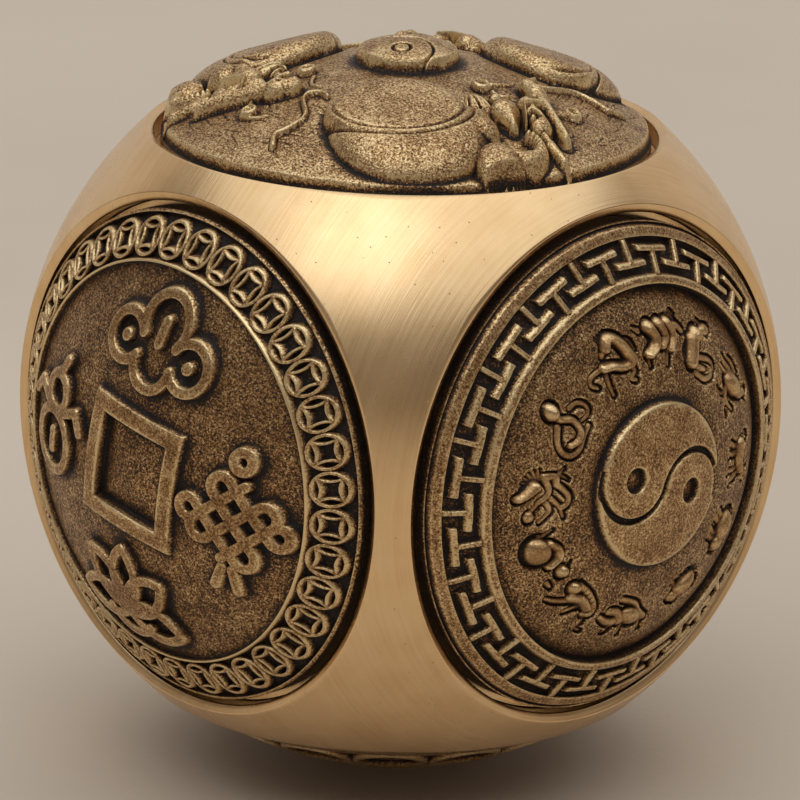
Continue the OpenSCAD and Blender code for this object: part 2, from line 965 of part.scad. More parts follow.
body();
front_disc();
right_disc();
top_disc();
back_disc();
left_disc();
bottom_disc();
rotate(FRONT) spindle();  // front_spindle
rotate(RIGHT) spindle();  // right_spindle
rotate(TOP) spindle();  // top_spindle
rotate(BACK) spindle();  // back_spindle
rotate(LEFT) spindle();  // left_spindle
rotate(BOTTOM) spindle();  // bottom_spindle
rotate(FRONT) outer_ring();  // front_outer_ring
rotate(RIGHT) outer_ring();  // right_outer_ring
rotate(TOP) outer_ring();  // top_outer_ring
rotate(BACK) outer_ring();  // back_outer_ring
rotate(LEFT) outer_ring();  // left_outer_ring
rotate(BOTTOM) outer_ring();  // bottom_outer_ring
rotate(FRONT) inner_ring();  // front_inner_ring
rotate(RIGHT) inner_ring();  // right_inner_ring
rotate(TOP) inner_ring();  // top_inner_ring
rotate(BACK) inner_ring();  // back_inner_ring
rotate(LEFT) inner_ring();  // left_inner_ring
rotate(BOTTOM) inner_ring();  // bottom_inner_ring
rotate(FRONT) balls();  // front_balls
rotate(RIGHT) balls();  // right_balls
rotate(TOP) balls();  // top_balls
rotate(BACK) balls();  // back_balls
rotate(LEFT) balls();  // left_balls
rotate(BOTTOM) balls();  // bottom_balls
rotate(FRONT) cage();  // front_cage
rotate(RIGHT) cage();  // right_cage
rotate(TOP) cage();  // top_cage
rotate(BACK) cage();  // back_cage
rotate(LEFT) cage();  // left_cage
rotate(BOTTOM) cage();  // bottom_cage
rotate(FRONT) shields();  // front_shields
rotate(RIGHT) shields();  // right_shields
rotate(TOP) shields();  // top_shields
rotate(BACK) shields();  // back_shields
rotate(LEFT) shields();  // left_shields
rotate(BOTTOM) shields();  // bottom_shields
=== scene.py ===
"""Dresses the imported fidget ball: turned brass, six antiqued medallions, steel bearings and a studio."""
import math

import bpy
import numpy as np
from mathutils import Matrix, Vector


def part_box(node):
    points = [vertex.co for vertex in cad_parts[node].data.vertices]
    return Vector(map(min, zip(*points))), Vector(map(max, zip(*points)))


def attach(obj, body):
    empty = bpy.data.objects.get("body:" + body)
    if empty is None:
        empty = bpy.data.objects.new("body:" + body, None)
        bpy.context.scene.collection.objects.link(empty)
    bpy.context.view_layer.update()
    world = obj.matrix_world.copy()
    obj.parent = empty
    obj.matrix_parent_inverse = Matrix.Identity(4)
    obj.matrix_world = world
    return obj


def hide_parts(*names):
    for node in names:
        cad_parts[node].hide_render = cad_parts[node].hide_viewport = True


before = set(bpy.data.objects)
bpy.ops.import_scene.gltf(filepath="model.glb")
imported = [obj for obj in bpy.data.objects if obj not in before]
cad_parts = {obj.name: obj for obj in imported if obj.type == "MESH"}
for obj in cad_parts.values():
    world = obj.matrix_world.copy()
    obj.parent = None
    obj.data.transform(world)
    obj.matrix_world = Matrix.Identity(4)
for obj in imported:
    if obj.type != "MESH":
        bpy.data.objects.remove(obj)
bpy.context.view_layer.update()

# Sizes in millimetres and degrees, as in the part's source

MM = 0.001
BALL_R = 24.0
BRIDGE_W = 2.1
LAND_W = 0.53
LAND_DROP = 0.21
POCKET_DEPTH = 1.3
DISC_GAP = 0.42
DISC_PROUD = 0.45
DISC_BACK_GAP = 0.25
DOME_R = 25.3
BEAST_DOME_R = 30.5
BEARING_R = 6.35
BEARING_W = 4.762
BEARING_SINK = 0.1
BEARING_RELIEF = 1.0
RELIEF_HOLE_R = 5.29

MOUTH_ANGLE = math.pi / 4 - BRIDGE_W / BALL_R / 2
MOUTH_R = BALL_R * math.sin(MOUTH_ANGLE)
MOUTH_Z = BALL_R * math.cos(MOUTH_ANGLE)
POCKET_R = MOUTH_R - LAND_W
LAND_Z = MOUTH_Z - LAND_DROP
FLOOR_Z = LAND_Z - POCKET_DEPTH
DISC_R = POCKET_R - DISC_GAP
EDGE_Z = LAND_Z + DISC_PROUD
BACK_Z = FLOOR_Z + DISC_BACK_GAP
HOLE_Z = FLOOR_Z - BEARING_SINK - BEARING_W - BEARING_RELIEF

RIM_ROUNDING = 0.12
RIM_ROUNDING_W = 0.3
WALL_TOP_Z = EDGE_Z - 0.2
NEAR = 0.01

BAND_DEPTH = 0.45
FIELD_DEPTH = 0.4
MOAT_DEPTH = 0.7
FIGURE_H = 0.1

COIN_COUNT = 38
COIN_RING_R = 13.75
COIN_PHASE = 6.2
COIN_LINE = 0.2
COIN_SPACE = 0.03
COIN_PITCH = 2 * math.pi / COIN_COUNT
COIN_R = COIN_RING_R * math.sin(COIN_PITCH / 2) - COIN_SPACE / 2
BEAD_R = COIN_RING_R - COIN_R - COIN_LINE / 2
BEAD_W = 0.17
RIM_W = 0.2
FRAME_SIDE = 7.9
FRAME_BAND = 1.15
COIN_TURN = 10
ORNAMENT_R = 8.2
STROKE_W = 0.75

FRET_COUNT = 20
FRET_OUT_R = DISC_R - 0.85
FRET_IN_R = FRET_OUT_R - 2.05
FRET_RING_IN_R = FRET_IN_R - 0.55
FRET_LINE = 0.35
FRET_GAP = 0.46
FRET_SHARE = 0.58
FRET_OUTER_PHASE = 17
FRET_INNER_PHASE = 8
TAIJI_R = 5.1
TAIJI_EYE_R = 0.77
TAIJI_LINE = 0.32
TAIJI_TURN = 18.6
TAIJI_MOAT = 0.9
ZODIAC_R = 8.65
ZODIAC_PHASE = 146.7
ZODIAC_MOAT = 0.8

BUTTON_R = 3.3
BUTTON_H = 1.4
BEAST_H = 1.3

BOSS_R = 4.8
BOSS_H = 0.14

# Each face's right, up and outward directions, as the source turns them
SLANT = math.sqrt(0.5)
FACES = {
    "front": ((1, 0, 0), (0, 0, 1), (0, -1, 0)),
    "right": ((0, 1, 0), (0, 0, 1), (1, 0, 0)),
    "top": ((SLANT, SLANT, 0), (-SLANT, SLANT, 0), (0, 0, 1)),
    "back": ((-1, 0, 0), (0, 0, 1), (0, 1, 0)),
    "left": ((0, -1, 0), (0, 0, 1), (-1, 0, 0)),
    "bottom": ((1, 0, 0), (0, -1, 0), (0, 0, -1)),
}
SEEN_FACES = ("front", "right", "top")

# Number of grid lines across a medallion, and the most triangles that it keeps
SEEN_GRID = 640
HIDDEN_GRID = 420
SEEN_TRIANGLES = 185000
HIDDEN_TRIANGLES = 90000


# Meshes

def mesh_object(name, points, faces):
    """A smooth-shaded object from an array of points in millimetres and an array of four-cornered faces."""
    mesh = bpy.data.meshes.new(name)
    mesh.vertices.add(len(points))
    mesh.vertices.foreach_set("co", (np.asarray(points) * MM).astype(np.float32).ravel())
    mesh.loops.add(faces.size)
    mesh.loops.foreach_set("vertex_index", faces.astype(np.int32).ravel())
    mesh.polygons.add(len(faces))
    mesh.polygons.foreach_set("loop_start", np.arange(0, faces.size, 4, dtype=np.int32))
    mesh.polygons.foreach_set("use_smooth", np.ones(len(faces), bool))
    mesh.update(calc_edges=True)
    mesh.validate()
    piece = bpy.data.objects.new(name, mesh)
    bpy.context.scene.collection.objects.link(piece)
    return piece


def grid_faces(rows, columns, wrap=False):
    """The faces between neighbouring points of a grid, closed round its columns on request."""
    index = np.arange(rows * columns).reshape(rows, columns)
    if wrap:
        index = np.column_stack([index, index[:, 0]])
    corners = [index[:-1, :-1], index[:-1, 1:], index[1:, 1:], index[1:, :-1]]
    return np.stack([corner.ravel() for corner in corners], axis=1)


def to_world(face, points):
    """Points of a face's own frame, turned to where the face is on the ball."""
    return points @ np.array(FACES[face], float)


def to_ball(face, points):
    """Points of a square frame round a face's outward direction, the same on every face."""
    right, up, out = FACES[face]
    if face == "top":
        right, up = (1, 0, 0), (0, 1, 0)
    return points @ np.array((right, up, out), float)


def worked(piece, kind, **settings):
    """The piece with one modifier applied to its mesh."""
    modifier = piece.modifiers.new(kind, kind)
    for key, value in settings.items():
        setattr(modifier, key, value)
    graph = bpy.context.evaluated_depsgraph_get()
    mesh = bpy.data.meshes.new_from_object(piece.evaluated_get(graph))
    piece.modifiers.clear()
    piece.data = mesh
    return piece


def store(piece, name, values):
    """One number for each point of the piece, for its material to read."""
    layer = piece.data.attributes.new(name, "FLOAT", "POINT")
    layer.data.foreach_set("value", np.asarray(values, np.float32))


def sharpen(piece, corner):
    """Shades the piece sharp along the edges whose points are both marked."""
    edges = piece.data.edges
    ends = np.zeros(2 * len(edges), np.int32)
    edges.foreach_get("vertices", ends)
    layer = piece.data.attributes.new("sharp_edge", "BOOLEAN", "EDGE")
    layer.data.foreach_set("value", corner[ends.reshape(-1, 2)].all(axis=1))


# Relief: heights over a medallion's dome, drawn in plan

def smooth_step(value):
    value = np.clip(value, 0, 1)
    return value * value * (3 - 2 * value)


def covered(distance, slope):
    """1 inside an outline, 0 outside it, and a slope of the given width between."""
    return smooth_step(0.5 - distance / slope)


def to_segment(x, y, start, end, start_w=0, end_w=None):
    """Distance from a straight limb that runs from start to end, as thick as start_w and end_w."""
    end_w = start_w if end_w is None else end_w
    run_x, run_y = end[0] - start[0], end[1] - start[1]
    length = run_x ** 2 + run_y ** 2
    along = np.clip(((x - start[0]) * run_x + (y - start[1]) * run_y) / max(length, 1e-9), 0, 1)
    gap = np.hypot(x - start[0] - along * run_x, y - start[1] - along * run_y)
    return gap - (start_w + (end_w - start_w) * along) / 2


def to_arc(x, y, centre, radius, start, end, start_w, end_w=None):
    """Distance from a limb bent round centre, anticlockwise from angle start to angle end."""
    end_w = start_w if end_w is None else end_w
    x, y = x - centre[0], y - centre[1]
    sweep = end - start
    angle = np.mod(np.degrees(np.arctan2(y, x)) - start, 360)
    angle = np.where(angle > sweep + (360 - sweep) / 2, 0, np.minimum(angle, sweep))
    near = np.radians(start + angle)
    gap = np.hypot(x - radius * np.cos(near), y - radius * np.sin(near))
    return gap - (start_w + (end_w - start_w) * angle / sweep) / 2


def to_box(x, y, half_x, half_y):
    """Distance from a box round the origin."""
    out_x, out_y = np.abs(x) - half_x, np.abs(y) - half_y
    return np.hypot(np.maximum(out_x, 0), np.maximum(out_y, 0)) + np.minimum(np.maximum(out_x, out_y), 0)


def to_ring(radius, middle, width):
    """Distance from a ring of the given width round the middle radius."""
    return np.abs(radius - middle) - width / 2


def turned(x, y, degrees):
    """The same places seen in a frame turned anticlockwise by degrees."""
    turn = math.radians(degrees)
    return x * math.cos(turn) + y * math.sin(turn), y * math.cos(turn) - x * math.sin(turn)


class Relief:
    """Heights in millimetres over a domed disc, on a square grid whose border is bent to the rim."""

    def __init__(self, count, dome_r=DOME_R):
        side = np.linspace(-1, 1, count)
        across, up = np.meshgrid(side, side)
        wide = np.abs(across) > np.abs(up)
        reach = np.where(wide, across, up)
        other = np.where(wide, up, across)
        turn = math.pi / 4 * np.divide(other, reach, out=np.zeros_like(reach), where=reach != 0)
        self.count = count
        self.dome_r = dome_r
        self.x = DISC_R * reach * np.where(wide, np.cos(turn), np.sin(turn))
        self.y = DISC_R * reach * np.where(wide, np.sin(turn), np.cos(turn))
        self.r = np.hypot(self.x, self.y)
        self.angle = np.degrees(np.arctan2(self.y, self.x))
        self.h = np.zeros_like(self.r)
        self.polish = np.zeros_like(self.r)
        # Even lift of tone: wear on the taiji, painted light over the whole top medallion, as if lit from
        # above
        self.wear_and_painted_light = np.zeros_like(self.r)

    def level(self, distance, height, slope=0.1, polish=None):
        """Brings everything inside an outline to one height over the dome."""
        share = covered(distance, slope)
        self.h += (height - self.h) * share
        if polish is not None:
            self.polish += (polish - self.polish) * share

    def ring(self, in_r, out_r, height, slope=0.1, polish=None):
        self.level(to_ring(self.r, (in_r + out_r) / 2, out_r - in_r), height, slope, polish)

    def folded(self, count, phase):
        """Places measured round and out from the nearest of count spokes, the first one at angle phase."""
        pitch = 360 / count
        round_angle = np.mod(self.angle - phase + pitch / 2, pitch) - pitch / 2
        return -self.r * np.sin(np.radians(round_angle)), self.r * np.cos(np.radians(round_angle))

    def points(self):
        """The grid's points in the face's frame."""
        dome_z = EDGE_Z - math.sqrt(self.dome_r ** 2 - DISC_R ** 2)
        rounding = RIM_ROUNDING * smooth_step((self.r - DISC_R + RIM_ROUNDING_W) / RIM_ROUNDING_W)
        z = dome_z + np.sqrt((self.dome_r + self.h - rounding) ** 2 - self.r ** 2)
        return np.stack([self.x, self.y, z], axis=-1)


def way(degrees):
    """A step of one millimetre in a direction."""
    return np.array((math.cos(math.radians(degrees)), math.sin(math.radians(degrees))))


def smooth_path(points, steps=5):
    """Places along a smooth curve that passes through the given points."""
    ends = np.array([points[0], *points, points[-1]], float)
    path = []
    for before, start, end, after in zip(ends, ends[1:], ends[2:], ends[3:]):
        for t in np.arange(steps) / steps:
            slopes = (end - before) * t + (2 * before - 5 * start + 4 * end - after) * t ** 2
            path.append(start + (slopes + (3 * start - before - 3 * end + after) * t ** 3) / 2)
    return path + [ends[-1]]


class Clay:
    """A patch of a relief on which rounded forms are modelled, at places x and y of its own frame."""

    def __init__(self, relief, x, y, place, fat=0.0):
        self.relief = relief
        self.place = place
        self.fat = fat
        self.x = x[place]
        self.y = y[place]
        self.h = np.full(self.x.shape, -1.0)

    @classmethod
    def patch(cls, relief, centre, turn, reach, fat=0.0):
        """A round patch with its own centre, turned anticlockwise by turn."""
        x, y = relief.x - centre[0], relief.y - centre[1]
        return cls(relief, *turned(x, y, turn), np.hypot(x, y) < reach, fat)

    def swell(self, distance, width, height, blend=0.08):
        """A rounded form, highest at width inside its outline, with every outline let out by fat."""
        depth = np.clip((self.fat - distance) / (width + self.fat), -1, 1)
        form = np.where(depth > 0, height * np.sqrt(np.maximum(1 - (1 - depth) ** 2, 0)), depth)
        gap = np.clip(blend - np.abs(self.h - form), 0, None) / blend
        self.h = np.maximum(self.h, form) + gap * gap * blend / 4

    def trail(self, points, start_w, end_w, height=None):
        """A limb along a smooth curve through the points."""
        path = smooth_path(points)
        widths = np.linspace(start_w, end_w, len(path))
        parts = zip(path, path[1:], widths, widths[1:])
        distance = np.minimum.reduce([to_segment(self.x, self.y, *part) for part in parts])
        thick = max(start_w, end_w) / 2
        self.swell(distance, thick, thick if height is None else height)

    def limb(self, start, end, start_w, end_w, height=None):
        """A straight limb."""
        thick = max(start_w, end_w) / 2
        distance = to_segment(self.x, self.y, start, end, start_w, end_w)
        self.swell(distance, thick, thick if height is None else height)

    def bend(self, centre, radius, start, end, start_w, end_w, height=None):
        """A limb bent round a centre, anticlockwise from angle start to angle end."""
        thick = max(start_w, end_w) / 2
        distance = to_arc(self.x, self.y, centre, radius, start, end, start_w, end_w)
        self.swell(distance, thick, thick if height is None else height)

    def egg(self, centre, half_x, half_y, turn=0, height=None, width=None):
        """An oval form, rounded over width at its edge."""
        x, y = turned(self.x - centre[0], self.y - centre[1], turn)
        size = min(half_x, half_y)
        distance = (np.hypot(x / half_x, y / half_y) - 1) * size
        self.swell(distance, width or size, size if height is None else height)

    def carve(self, distance, depth, slope=0.1):
        """A groove or pit cut into the forms."""
        self.h -= depth * covered(distance, slope)

    def press(self, gain=1.0, moat=0.0, moat_w=0.3, polish=0.35):
        """Adds the forms to the relief's ground, with a moat sunk round them on request."""
        relief, place = self.relief, self.place
        ground = relief.h[place]
        if moat:
            ground = ground - moat * smooth_step(1 + self.h / moat_w)
        relief.h[place] = np.where(self.h > -0.02, np.maximum(ground + self.h * gain, ground), ground)
        relief.polish[place] = np.where(self.h > 0, polish, relief.polish[place])


# Coin medallion

def coin_distance(x, y):
    """An old coin in raised lines: its rim, and four arcs that curve in to a square hole."""
    line_r = COIN_R - COIN_LINE / 2
    corner = line_r * SLANT
    waist = 0.5 * line_r
    arc_far = (2 * corner ** 2 - waist ** 2) / (2 * (corner - waist))
    arc_r = arc_far - waist
    x, y = np.abs(x), np.abs(y)
    near = np.minimum(np.hypot(x - arc_far, y), np.hypot(x, y - arc_far))
    arcs = np.maximum(np.abs(near - arc_r) - COIN_LINE * 0.4, np.hypot(x, y) - line_r)
    return np.minimum(np.abs(np.hypot(x, y) - line_r) - COIN_LINE / 2, arcs)


def strokes(x, y, parts):
    """Distance from the nearest of a list of straight and bent strokes."""
    return np.minimum.reduce([part(x, y) for part in parts])


def line(start, end, width=STROKE_W, end_w=None):
    return lambda x, y: to_segment(x, y, start, end, width, end_w)


def bow(centre, radius, start, end, width=STROKE_W, end_w=None):
    return lambda x, y: to_arc(x, y, centre, radius, start, end, width, end_w)


def hoop(centre, radius, width=STROKE_W):
    return lambda x, y: to_ring(np.hypot(x - centre[0], y - centre[1]), radius, width)


def mirrored(part):
    return lambda x, y: part(np.abs(x), y)


def cloud(x, y):
    """A cloud head with two scrolls."""
    return strokes(x, y, [
        bow((0, 1.35), 1.75, -35, 215),
        mirrored(bow((2.75, -0.4), 1.45, -150, 152)),
        mirrored(line((2.75, -0.4), (2.75, -0.4), STROKE_W * 1.2)),
        bow((0, -1.2), 1.5, 195, 345),
        line((0, 0.1), (0, 1.5)),
    ])


def knot(x, y):
    """An endless knot with a hanging loop and a tassel."""
    reach, step = 2.1, 1.45
    u, v = turned(x, y, 45)
    lanes = []
    for s in (-step, 0, step):
        lanes += [line((s, -reach), (s, reach)), line((-reach, s), (reach, s))]
    for sign in (1, -1):
        lanes += [
            bow((sign * step / 2, sign * reach), step / 2, 90 - sign * 90, 270 - sign * 90),
            bow((sign * reach, -sign * step / 2), step / 2, -sign * 90, 180 - sign * 90),
            bow((-sign * reach, sign * reach), reach - step, 90 - sign * 90, 360 - sign * 90),
        ]
    lace = strokes(u, v, lanes)
    hanging = strokes(x, y, [hoop((0, 3.95), 0.6), mirrored(line((0.35, -3.1), (0.75, -4.4)))])
    return np.minimum(lace, hanging)


def open_lotus(x, y):
    """A lotus flower with five open petals on a cup."""
    half_l, half_w, petal_gap, base = 2.2, 1.05, 46, -1.5
    radius = (half_l ** 2 + half_w ** 2) / (2 * half_w)
    spread = math.degrees(math.asin(half_l / radius))
    edge = mirrored(bow((half_w - radius, half_l), radius, -spread, spread))
    petals = [edge(*turned(x, y - base, i * petal_gap)) for i in range(-2, 3)]
    return np.minimum.reduce(petals + [bow((0, -0.9), 2.2, 215, 325)(x, y)])


def gourd(x, y):
    """A bottle gourd with a stem and a ribbon round its waist."""
    return strokes(x, y, [
        hoop((0, 1.6), 1.15),
        hoop((0, -1.6), 1.95),
        line((0, 2.8), (0.5, 3.9)),
        mirrored(line((0.6, 0.4), (2.5, 1.3))),
        mirrored(line((2.5, 1.3), (3.2, 0.3))),
        line((0, -2.2), (0, -1)),
    ])


def coin_relief(relief):
    relief.ring(0, BEAD_R - BEAD_W, -FIELD_DEPTH)
    relief.ring(BEAD_R, DISC_R - RIM_W, -BAND_DEPTH)
    relief.ring(BEAD_R - BEAD_W, BEAD_R, 0, polish=1)
    round_x, out_y = relief.folded(COIN_COUNT, COIN_PHASE)
    relief.level(coin_distance(round_x, out_y - COIN_RING_R) - COIN_SPACE, 0, slope=0.12, polish=0.4)
    x, y = turned(relief.x, relief.y, -COIN_TURN)
    half = FRAME_SIDE / 2
    relief.level(to_box(x, y, half, half), 0, slope=0.16, polish=0.4)
    hole = to_box(x, y, half - FRAME_BAND, half - FRAME_BAND)
    relief.level(hole, -MOAT_DEPTH, slope=0.16, polish=0)
    relief.h += (MOAT_DEPTH - FIELD_DEPTH) * smooth_step(-hole / (half - FRAME_BAND))
    for i, ornament in enumerate((cloud, knot, open_lotus, gourd)):
        away = math.radians(90 - 90 * i)
        place_x, place_y = x - ORNAMENT_R * math.cos(away), y - ORNAMENT_R * math.sin(away)
        near = np.hypot(place_x, place_y) < 6
        distance = np.full(x.shape, 9.0)
        distance[near] = ornament(place_x[near], place_y[near])
        relief.level(distance, FIGURE_H, slope=0.2, polish=0.45)


# Zodiac medallion

def fret_distance(relief, phase, root_r, edge_r):
    """A T with its stem rooted at root_r, and its bar short of edge_r by the fret gap."""
    outward = math.copysign(1, edge_r - root_r)
    bar_r = edge_r - outward * (FRET_GAP + FRET_LINE / 2)
    bar_l = bar_r * 2 * math.pi / FRET_COUNT * FRET_SHARE
    round_x, out_y = relief.folded(FRET_COUNT, phase)
    stem = to_box(round_x, out_y - (root_r + bar_r) / 2, FRET_LINE / 2, abs(root_r - bar_r) / 2)
    return np.minimum(to_box(round_x, out_y - bar_r, bar_l / 2, FRET_LINE / 2), stem)


def four_legs(clay, hips, feet, leg_w=0.34):
    """Four bent legs from under a body, each given by its hip and foot."""
    for hip, foot in zip(hips, feet):
        knee = ((hip[0] + foot[0]) / 2 + 0.14, (hip[1] + foot[1]) / 2)
        clay.trail([hip, knee, foot, (foot[0] + 0.18, foot[1] - 0.02)], leg_w * 1.3, leg_w * 0.8)


def snake(clay):
    clay.egg((0.5, 0.95), 0.5, 0.42, 35, 0.55)
    clay.trail([
        (-0.1, 0.1), (-0.9, -0.3), (-1.3, -0.9), (-1.2, -1.5), (-0.6, -1.8), (0.2, -1.7), (0.9, -1.7),
    ], 0.42, 0.26)
    clay.trail([(0.9, -1.1), (1.4, -1.35), (1.8, -1.2), (1.9, -0.8), (1.7, -0.35), (1.25, -0.1)], 0.2, 0.34)
    clay.trail([
        (0.5, 0.7), (0.4, 0.2), (0.7, -0.5), (0.4, -1.25), (-0.2, -1.4), (-0.7, -1.1),
    ], 0.42, 0.34, 0.34)


def horse(clay):
    clay.trail([(0.9, 0.7), (1.4, 1.05), (1.85, 0.7), (2.1, 0), (2.15, -0.8)], 0.5, 0.8, 0.5)
    clay.trail([(0.1, -0.1), (0.7, -0.35), (1.3, -0.8), (1.95, -1.0)], 0.5, 0.55, 0.42)
    clay.trail([(1.1, 0.85), (0.75, 0.6), (0.45, 0.45)], 0.5, 0.26)
    for x in (0.9, 1.15, 1.4, 1.65):
        clay.limb((x, 0.9), (x - 0.15, 1.5), 0.2, 0.08)
    clay.trail([(0.1, -0.1), (-0.9, -0.05), (-1.2, -0.4), (-0.9, -0.8)], 0.36, 0.24)
    clay.trail([(0.15, -0.3), (-0.1, -1.1), (-0.2, -1.75)], 0.36, 0.24)
    clay.trail([(1.9, -1.1), (2.0, -1.6), (1.5, -1.8), (1.75, -2.1)], 0.36, 0.24)
    clay.trail([(2.3, 0.3), (2.75, 0), (2.8, -0.7)], 0.3, 0.12)


def goat(clay):
    clay.trail([(-0.3, 0.8), (0.1, 0.2), (-0.1, -0.4), (-0.6, -0.75)], 0.8, 0.5, 0.55)
    clay.trail([(0.6, 0.9), (0.95, 0.2), (0.6, -0.35)], 0.7, 0.5, 0.5)
    clay.trail([(1.3, 0.9), (1.65, 0.2), (1.3, -0.6)], 0.66, 0.5, 0.5)
    clay.limb((-0.6, -0.7), (-0.5, -1.45), 0.36, 0.2)
    clay.limb((1.15, -0.7), (1.0, -1.55), 0.36, 0.2)
    clay.trail([(1.8, 0.5), (2.35, 0.5), (2.75, 0.15)], 0.55, 0.3)
    for lift in (0, 0.3):
        clay.trail([(1.6, 0.9 + lift), (2.0, 1.15 + lift), (2.35, 0.85 + lift)], 0.2, 0.1)
    clay.limb((-1.0, 0.6), (-1.5, 0.85), 0.36, 0.16)


def monkey(clay):
    clay.trail([(-0.95, 0.3), (-0.8, -0.3), (-0.7, -1.0)], 1.0, 0.9, 0.5)
    clay.egg((-0.85, 0.65), 0.5, 0.46, 0, 0.6)
    clay.egg((-0.45, 0.6), 0.24, 0.2, 0, 0.6)
    clay.trail([(-0.3, -0.6), (0.8, -0.3), (1.4, -0.3), (1.7, -0.6)], 0.4, 0.22)
    clay.trail([(-0.4, -1.1), (0.3, -1.05), (0.8, -0.95)], 0.46, 0.3)
    clay.trail([(0, -1.45), (1.0, -1.5), (1.6, -1.1), (1.6, -0.75)], 0.4, 0.26)
    clay.trail([(-1.1, -1.1), (-1.6, -0.7), (-1.5, 0)], 0.22, 0.12)
    clay.egg((0.15, 1.25), 0.44, 0.34, 20)
    clay.limb((-0.1, 1.4), (-0.8, 1.55), 0.26, 0.1)


def rooster(clay):
    clay.egg((-0.3, 0.4), 1.0, 0.62, 20, 0.5)
    clay.trail([(-2.5, 0.5), (-2.0, 0.5), (-1.2, 0.7)], 0.18, 0.4)
    clay.trail([(-2.1, 0.05), (-1.3, 0.3), (-0.6, 1.1)], 0.2, 0.4)
    clay.trail([(-1.9, 1.0), (-1.2, 1.25), (-0.5, 1.2)], 0.16, 0.34)
    clay.trail([(0.4, 0.5), (0.9, 0.8), (1.05, 1.25)], 0.6, 0.36)
    clay.egg((1.15, 1.3), 0.28, 0.24)
    clay.limb((1.3, 1.3), (1.65, 1.15), 0.18, 0.06)
    for x in (0.95, 1.12, 1.28):
        clay.egg((x, 1.6), 0.1, 0.15)
    clay.trail([(-0.7, -0.2), (-0.1, -0.75), (0.9, -0.5)], 0.4, 0.2)
    clay.trail([(-0.4, -0.4), (-0.8, -1.0), (-1.5, -1.15)], 0.26, 0.14)
    clay.trail([(0.2, -0.4), (0.15, -1.1), (0.7, -1.35)], 0.26, 0.14)


def dog(clay):
    clay.trail([(-0.9, 0.1), (0, -0.05), (0.7, 0.25)], 0.8, 0.7, 0.42)
    clay.trail([(0.7, 0.3), (1.05, 0.85), (1.5, 0.8)], 0.5, 0.28)
    clay.limb((0.95, 1.0), (0.7, 1.3), 0.24, 0.12)
    clay.trail([(-1.1, 0.2), (-1.5, 0.5), (-1.35, 1.0), (-0.95, 0.95)], 0.24, 0.14)
    four_legs(clay, [(-0.8, 0), (-0.5, -0.1), (0.45, -0.1), (0.8, 0)],
              [(-1.2, -1.2), (-0.5, -1.35), (0.55, -1.4), (1.3, -1.1)], 0.3)


def pig(clay):
    clay.egg((-0.15, 0.1), 1.05, 0.72, 0, 0.55)
    clay.egg((0.95, 0.1), 0.55, 0.5)
    clay.limb((1.2, -0.05), (1.55, -0.15), 0.36, 0.3)
    clay.limb((0.8, 0.55), (1.1, 0.8), 0.3, 0.12)
    clay.bend((-1.3, 0.3), 0.2, -60, 200, 0.16, 0.1)
    four_legs(clay, [(-0.7, -0.3), (-0.4, -0.4), (0.4, -0.4), (0.7, -0.3)],
              [(-0.85, -1.2), (-0.4, -1.3), (0.4, -1.3), (0.8, -1.2)], 0.36)


def rat(clay):
    clay.egg((-0.1, -0.1), 1.0, 0.6, 10, 0.55)
    clay.egg((0.9, 0.15), 0.48, 0.36, -20)
    clay.limb((1.15, 0.1), (1.6, -0.15), 0.28, 0.1)
    clay.egg((0.75, 0.55), 0.24, 0.24)
    clay.trail([(-1.0, 0.1), (-1.5, 0.5), (-1.1, 0.95), (-0.4, 0.9)], 0.22, 0.1)
    for x in (-0.7, 0, 0.6):
        clay.trail([(x, -0.4), (x + 0.05, -0.85), (x + 0.35, -1.0)], 0.3, 0.16)


def ox(clay):
    clay.trail([(1.3, -1.3), (0.1, -0.85), (-0.5, -0.2), (-1.2, 0.3)], 0.36, 0.5)
    clay.egg((0.2, 0), 0.85, 0.55, -20, 0.5)
    clay.trail([(2.1, -0.6), (1.4, -0.4), (1.0, 0.2)], 0.5, 0.6)
    clay.trail([(1.6, 0.2), (2.2, 0.05), (2.75, -0.3)], 0.6, 0.3)
    clay.trail([(1.5, 0.5), (1.9, 0.9), (2.3, 0.8)], 0.22, 0.1)
    clay.limb((-0.9, 0.2), (-1.1, 1.1), 0.34, 0.2)
    clay.limb((0.6, 0.4), (0.7, 1.2), 0.34, 0.2)


def tiger(clay):
    clay.trail([(1.5, -1.0), (0.4, -0.85), (-0.6, -0.4), (-0.75, 0.1), (-0.2, 0.3)], 0.56, 0.34)
    clay.trail([(1.5, -0.2), (0.7, -0.35), (-0.1, -0.1)], 0.66, 0.5, 0.45)
    clay.egg((1.85, -0.75), 0.42, 0.38, 0, 0.5)
    clay.limb((1.9, -1.0), (1.75, -1.35), 0.2, 0.1)
    clay.trail([(1.2, -0.1), (2.3, 0.45), (3.0, 0.6)], 0.4, 0.22)
    clay.limb((0.5, 0), (1.2, 0.75), 0.34, 0.24)
    clay.trail([(-0.4, 0.3), (-0.7, 0.7), (-0.6, 1.2), (-1.1, 1.2)], 0.24, 0.16)
    for x in (-0.3, 0.1, 0.5, 0.9):
        clay.carve(to_segment(clay.x, clay.y, (x, -1.1), (x + 0.1, -0.5), 0.06), 0.12)


def rabbit(clay):
    clay.egg((1.45, 0.4), 0.85, 0.75, 0, 0.65)
    clay.trail([(1.5, -0.4), (0.9, -0.75), (0.35, -0.6), (0.1, 0.1)], 0.5, 0.4, 0.45)
    clay.limb((1.9, 0.7), (2.25, -0.1), 0.34, 0.22)
    clay.limb((2.1, 0), (2.2, -0.95), 0.28, 0.14)
    clay.egg((-0.7, -0.5), 0.4, 0.36, 0, 0.5)
    clay.limb((-0.4, -0.3), (0, -0.35), 0.24, 0.14)
    clay.limb((-0.6, -0.8), (-0.4, -1.2), 0.24, 0.12)
    clay.limb((-1.0, 0.5), (-1.35, 0.4), 0.34, 0.26)


